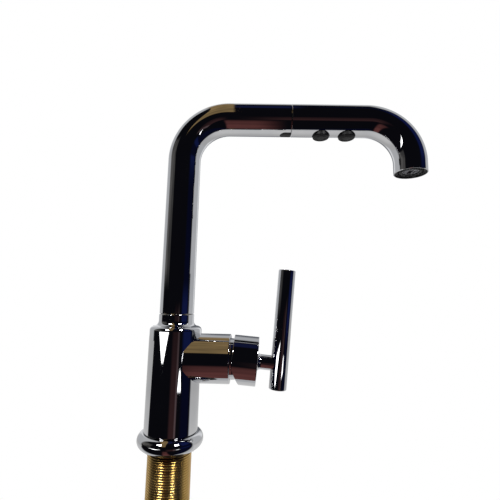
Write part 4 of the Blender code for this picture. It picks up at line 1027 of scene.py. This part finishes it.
def outlet():
    """Spray face with its nozzles, then the aerator, then its screen."""
    face, inner = OUTLET_Z + 0.0008, 0.0071
    place = Matrix.Translation((OUTLET_X, 0, 0))
    rim = TUBE_R - 0.0010
    recess = OUTLET_Z + 0.0075
    outline = [(0.0085, OUTLET_Z + 0.0136), (0.0085, OUTLET_Z + 0.0102),
               (0.0121, OUTLET_Z + 0.0082), (0.0121, OUTLET_Z + 0.0067), (rim, OUTLET_Z + 0.0067)]
    outline += arc((rim - 0.0006, face + 0.0006), 0.0006, 0, -90, 6)
    outline += [(0.0118, face), (0.0116, face + 0.0004), (0.0084, face + 0.0004),
                (0.0082, face), (inner + 0.0003, face), (inner, face + 0.0003), (inner, recess),
                (0.0036, recess), (0.0036, OUTLET_Z + 0.0085), (0.0058, OUTLET_Z + 0.0085),
                (0.0058, OUTLET_Z + 0.0136)]
    body = revolve("spray_face", outline, place, 128)
    nozzles = []
    for step in range(20):
        angle = 2 * math.pi * step / 20
        tip = [(0.0, face + 0.0010), (0.00075, face + 0.0010), (0.00060, face - 0.0002),
               (0.00035, face - 0.0003), (0.00028, face + 0.0004), (0.0, face + 0.0004)]
        nozzles.append(revolve(f"nozzle_{step}", tip, place @ Matrix.Translation(
            (0.0100 * math.cos(angle), 0.0100 * math.sin(angle), 0)), 16, False))
    combine(body, nozzles, "UNION")
    piece_of(body, "spray_head", BLACK, "black_plastic", "spray_face")
    outline = [(0.0068, recess - GAP), (0.0068, face + 0.0011)]
    outline += arc((0.0065, face + 0.0011), 0.0003, 0, -90, 4)
    outline += [(0.0060, face + 0.0008), (0.0058, face + 0.0010), (0.0058, recess - GAP)]
    piece_of(revolve("aerator", outline, place, 96), "spray_head", GREY, "grey_plastic",
             "aerator")
    cage = bmesh.new()
    radius, pitch, half, level = 0.0054, 0.00060, 0.00024, face + 0.0012
    for across in (False, True):
        for line in np.arange(-8, 9) * pitch:
            reach = math.sqrt(radius ** 2 - line ** 2)
            made = bmesh.ops.create_cube(cage, size=1.0)["verts"]
            size = (half * 2, reach * 2, 0.0004) if across else (reach * 2, half * 2, 0.0004)
            at = (line, 0, level) if across else (0, line, level + 0.0002)
            bmesh.ops.scale(cage, vec=size, verts=made)
            bmesh.ops.translate(cage, vec=at, verts=made)
    grid = solid("screen_wires", cage, place)
    screen = revolve("aerator_screen", [(0.0055, level + 0.0005), (0.0055, level - 0.0005),
                                        (0.0050, level - 0.0005), (0.0050, level + 0.0005)],
                     place, 72)
    combine(screen, [grid], "UNION")
    # The screen's grey is made half again as light, as painted light on a screen that sits in the
    # shade inside the outlet.
    piece_of(screen, "spray_head", grey_moulding("screen_moulding", 1.5), "grey_plastic",
             "aerator_screen")


outlet()

# ----------------------------------------------------------------------------------------------
# Inner pieces that stay as the frame has them: pipes, waterway, cartridge, swivel and the head's
# works.  Each gets the finish of its own metal, nylon, rubber or ceramic.
# ----------------------------------------------------------------------------------------------


def natural_nylon():
    """Ivory nylon, slightly waxy."""
    made, tree, shader = material("natural_nylon", (0.74, 0.72, 0.66), 0.0, 0.40)
    shader.inputs["Subsurface Weight"].default_value = 0.15
    shader.inputs["Subsurface Radius"].default_value = (0.002, 0.0016, 0.0012)
    flow = noise(tree, 110.0, 4.0)
    link(tree, tint(tree, flow, (0.66, 0.64, 0.57), (0.80, 0.78, 0.72)),
         shader.inputs["Base Color"])
    link(tree, spread(tree, flow, 0.33, 0.48), shader.inputs["Roughness"])
    return made


def lapped_ceramic():
    """Alumina, lapped flat: white, very smooth, with faint grey lapping marks."""
    made, tree, shader = material("lapped_ceramic", (0.85, 0.84, 0.80), 0.0, 0.12)
    marks = noise(tree, 700.0, 3.0, (1.0, 1.0, 0.1))
    link(tree, tint(tree, marks, (0.76, 0.75, 0.72), (0.90, 0.89, 0.86)),
         shader.inputs["Base Color"])
    link(tree, spread(tree, marks, 0.08, 0.20), shader.inputs["Roughness"])
    return made


FINISH_OF_SLOT = {
    "brass": BRASS,
    "copper": bare_brass("drawn_copper", (0.55, 0.22, 0.11), (0.86, 0.46, 0.29), (3.0, 3.0, 0.05)),
    "steel": STEEL,
    "rubber": RUBBER,
    "black_plastic": BLACK,
    "grey_plastic": GREY,
    "white_nylon": natural_nylon(),
    "ceramic": lapped_ceramic(),
    "chrome": CHROME,
}
slot_of_node = {part["node"]: part["material_slot"] for part in frame["record"]["subparts"]}
for node_name, node in nodes.items():
    if slot_of_node[node_name] in FINISH_OF_SLOT:
        node.data.materials.clear()
        node.data.materials.append(FINISH_OF_SLOT[slot_of_node[node_name]])

# Each softbox lights every piece but the one whose bend it would burn out.
for lit in scene.objects:
    for bend, lights_these in spared.items():
        if lit.type == "MESH" and not lit.name.startswith(bend):
            lights_these.objects.link(lit)
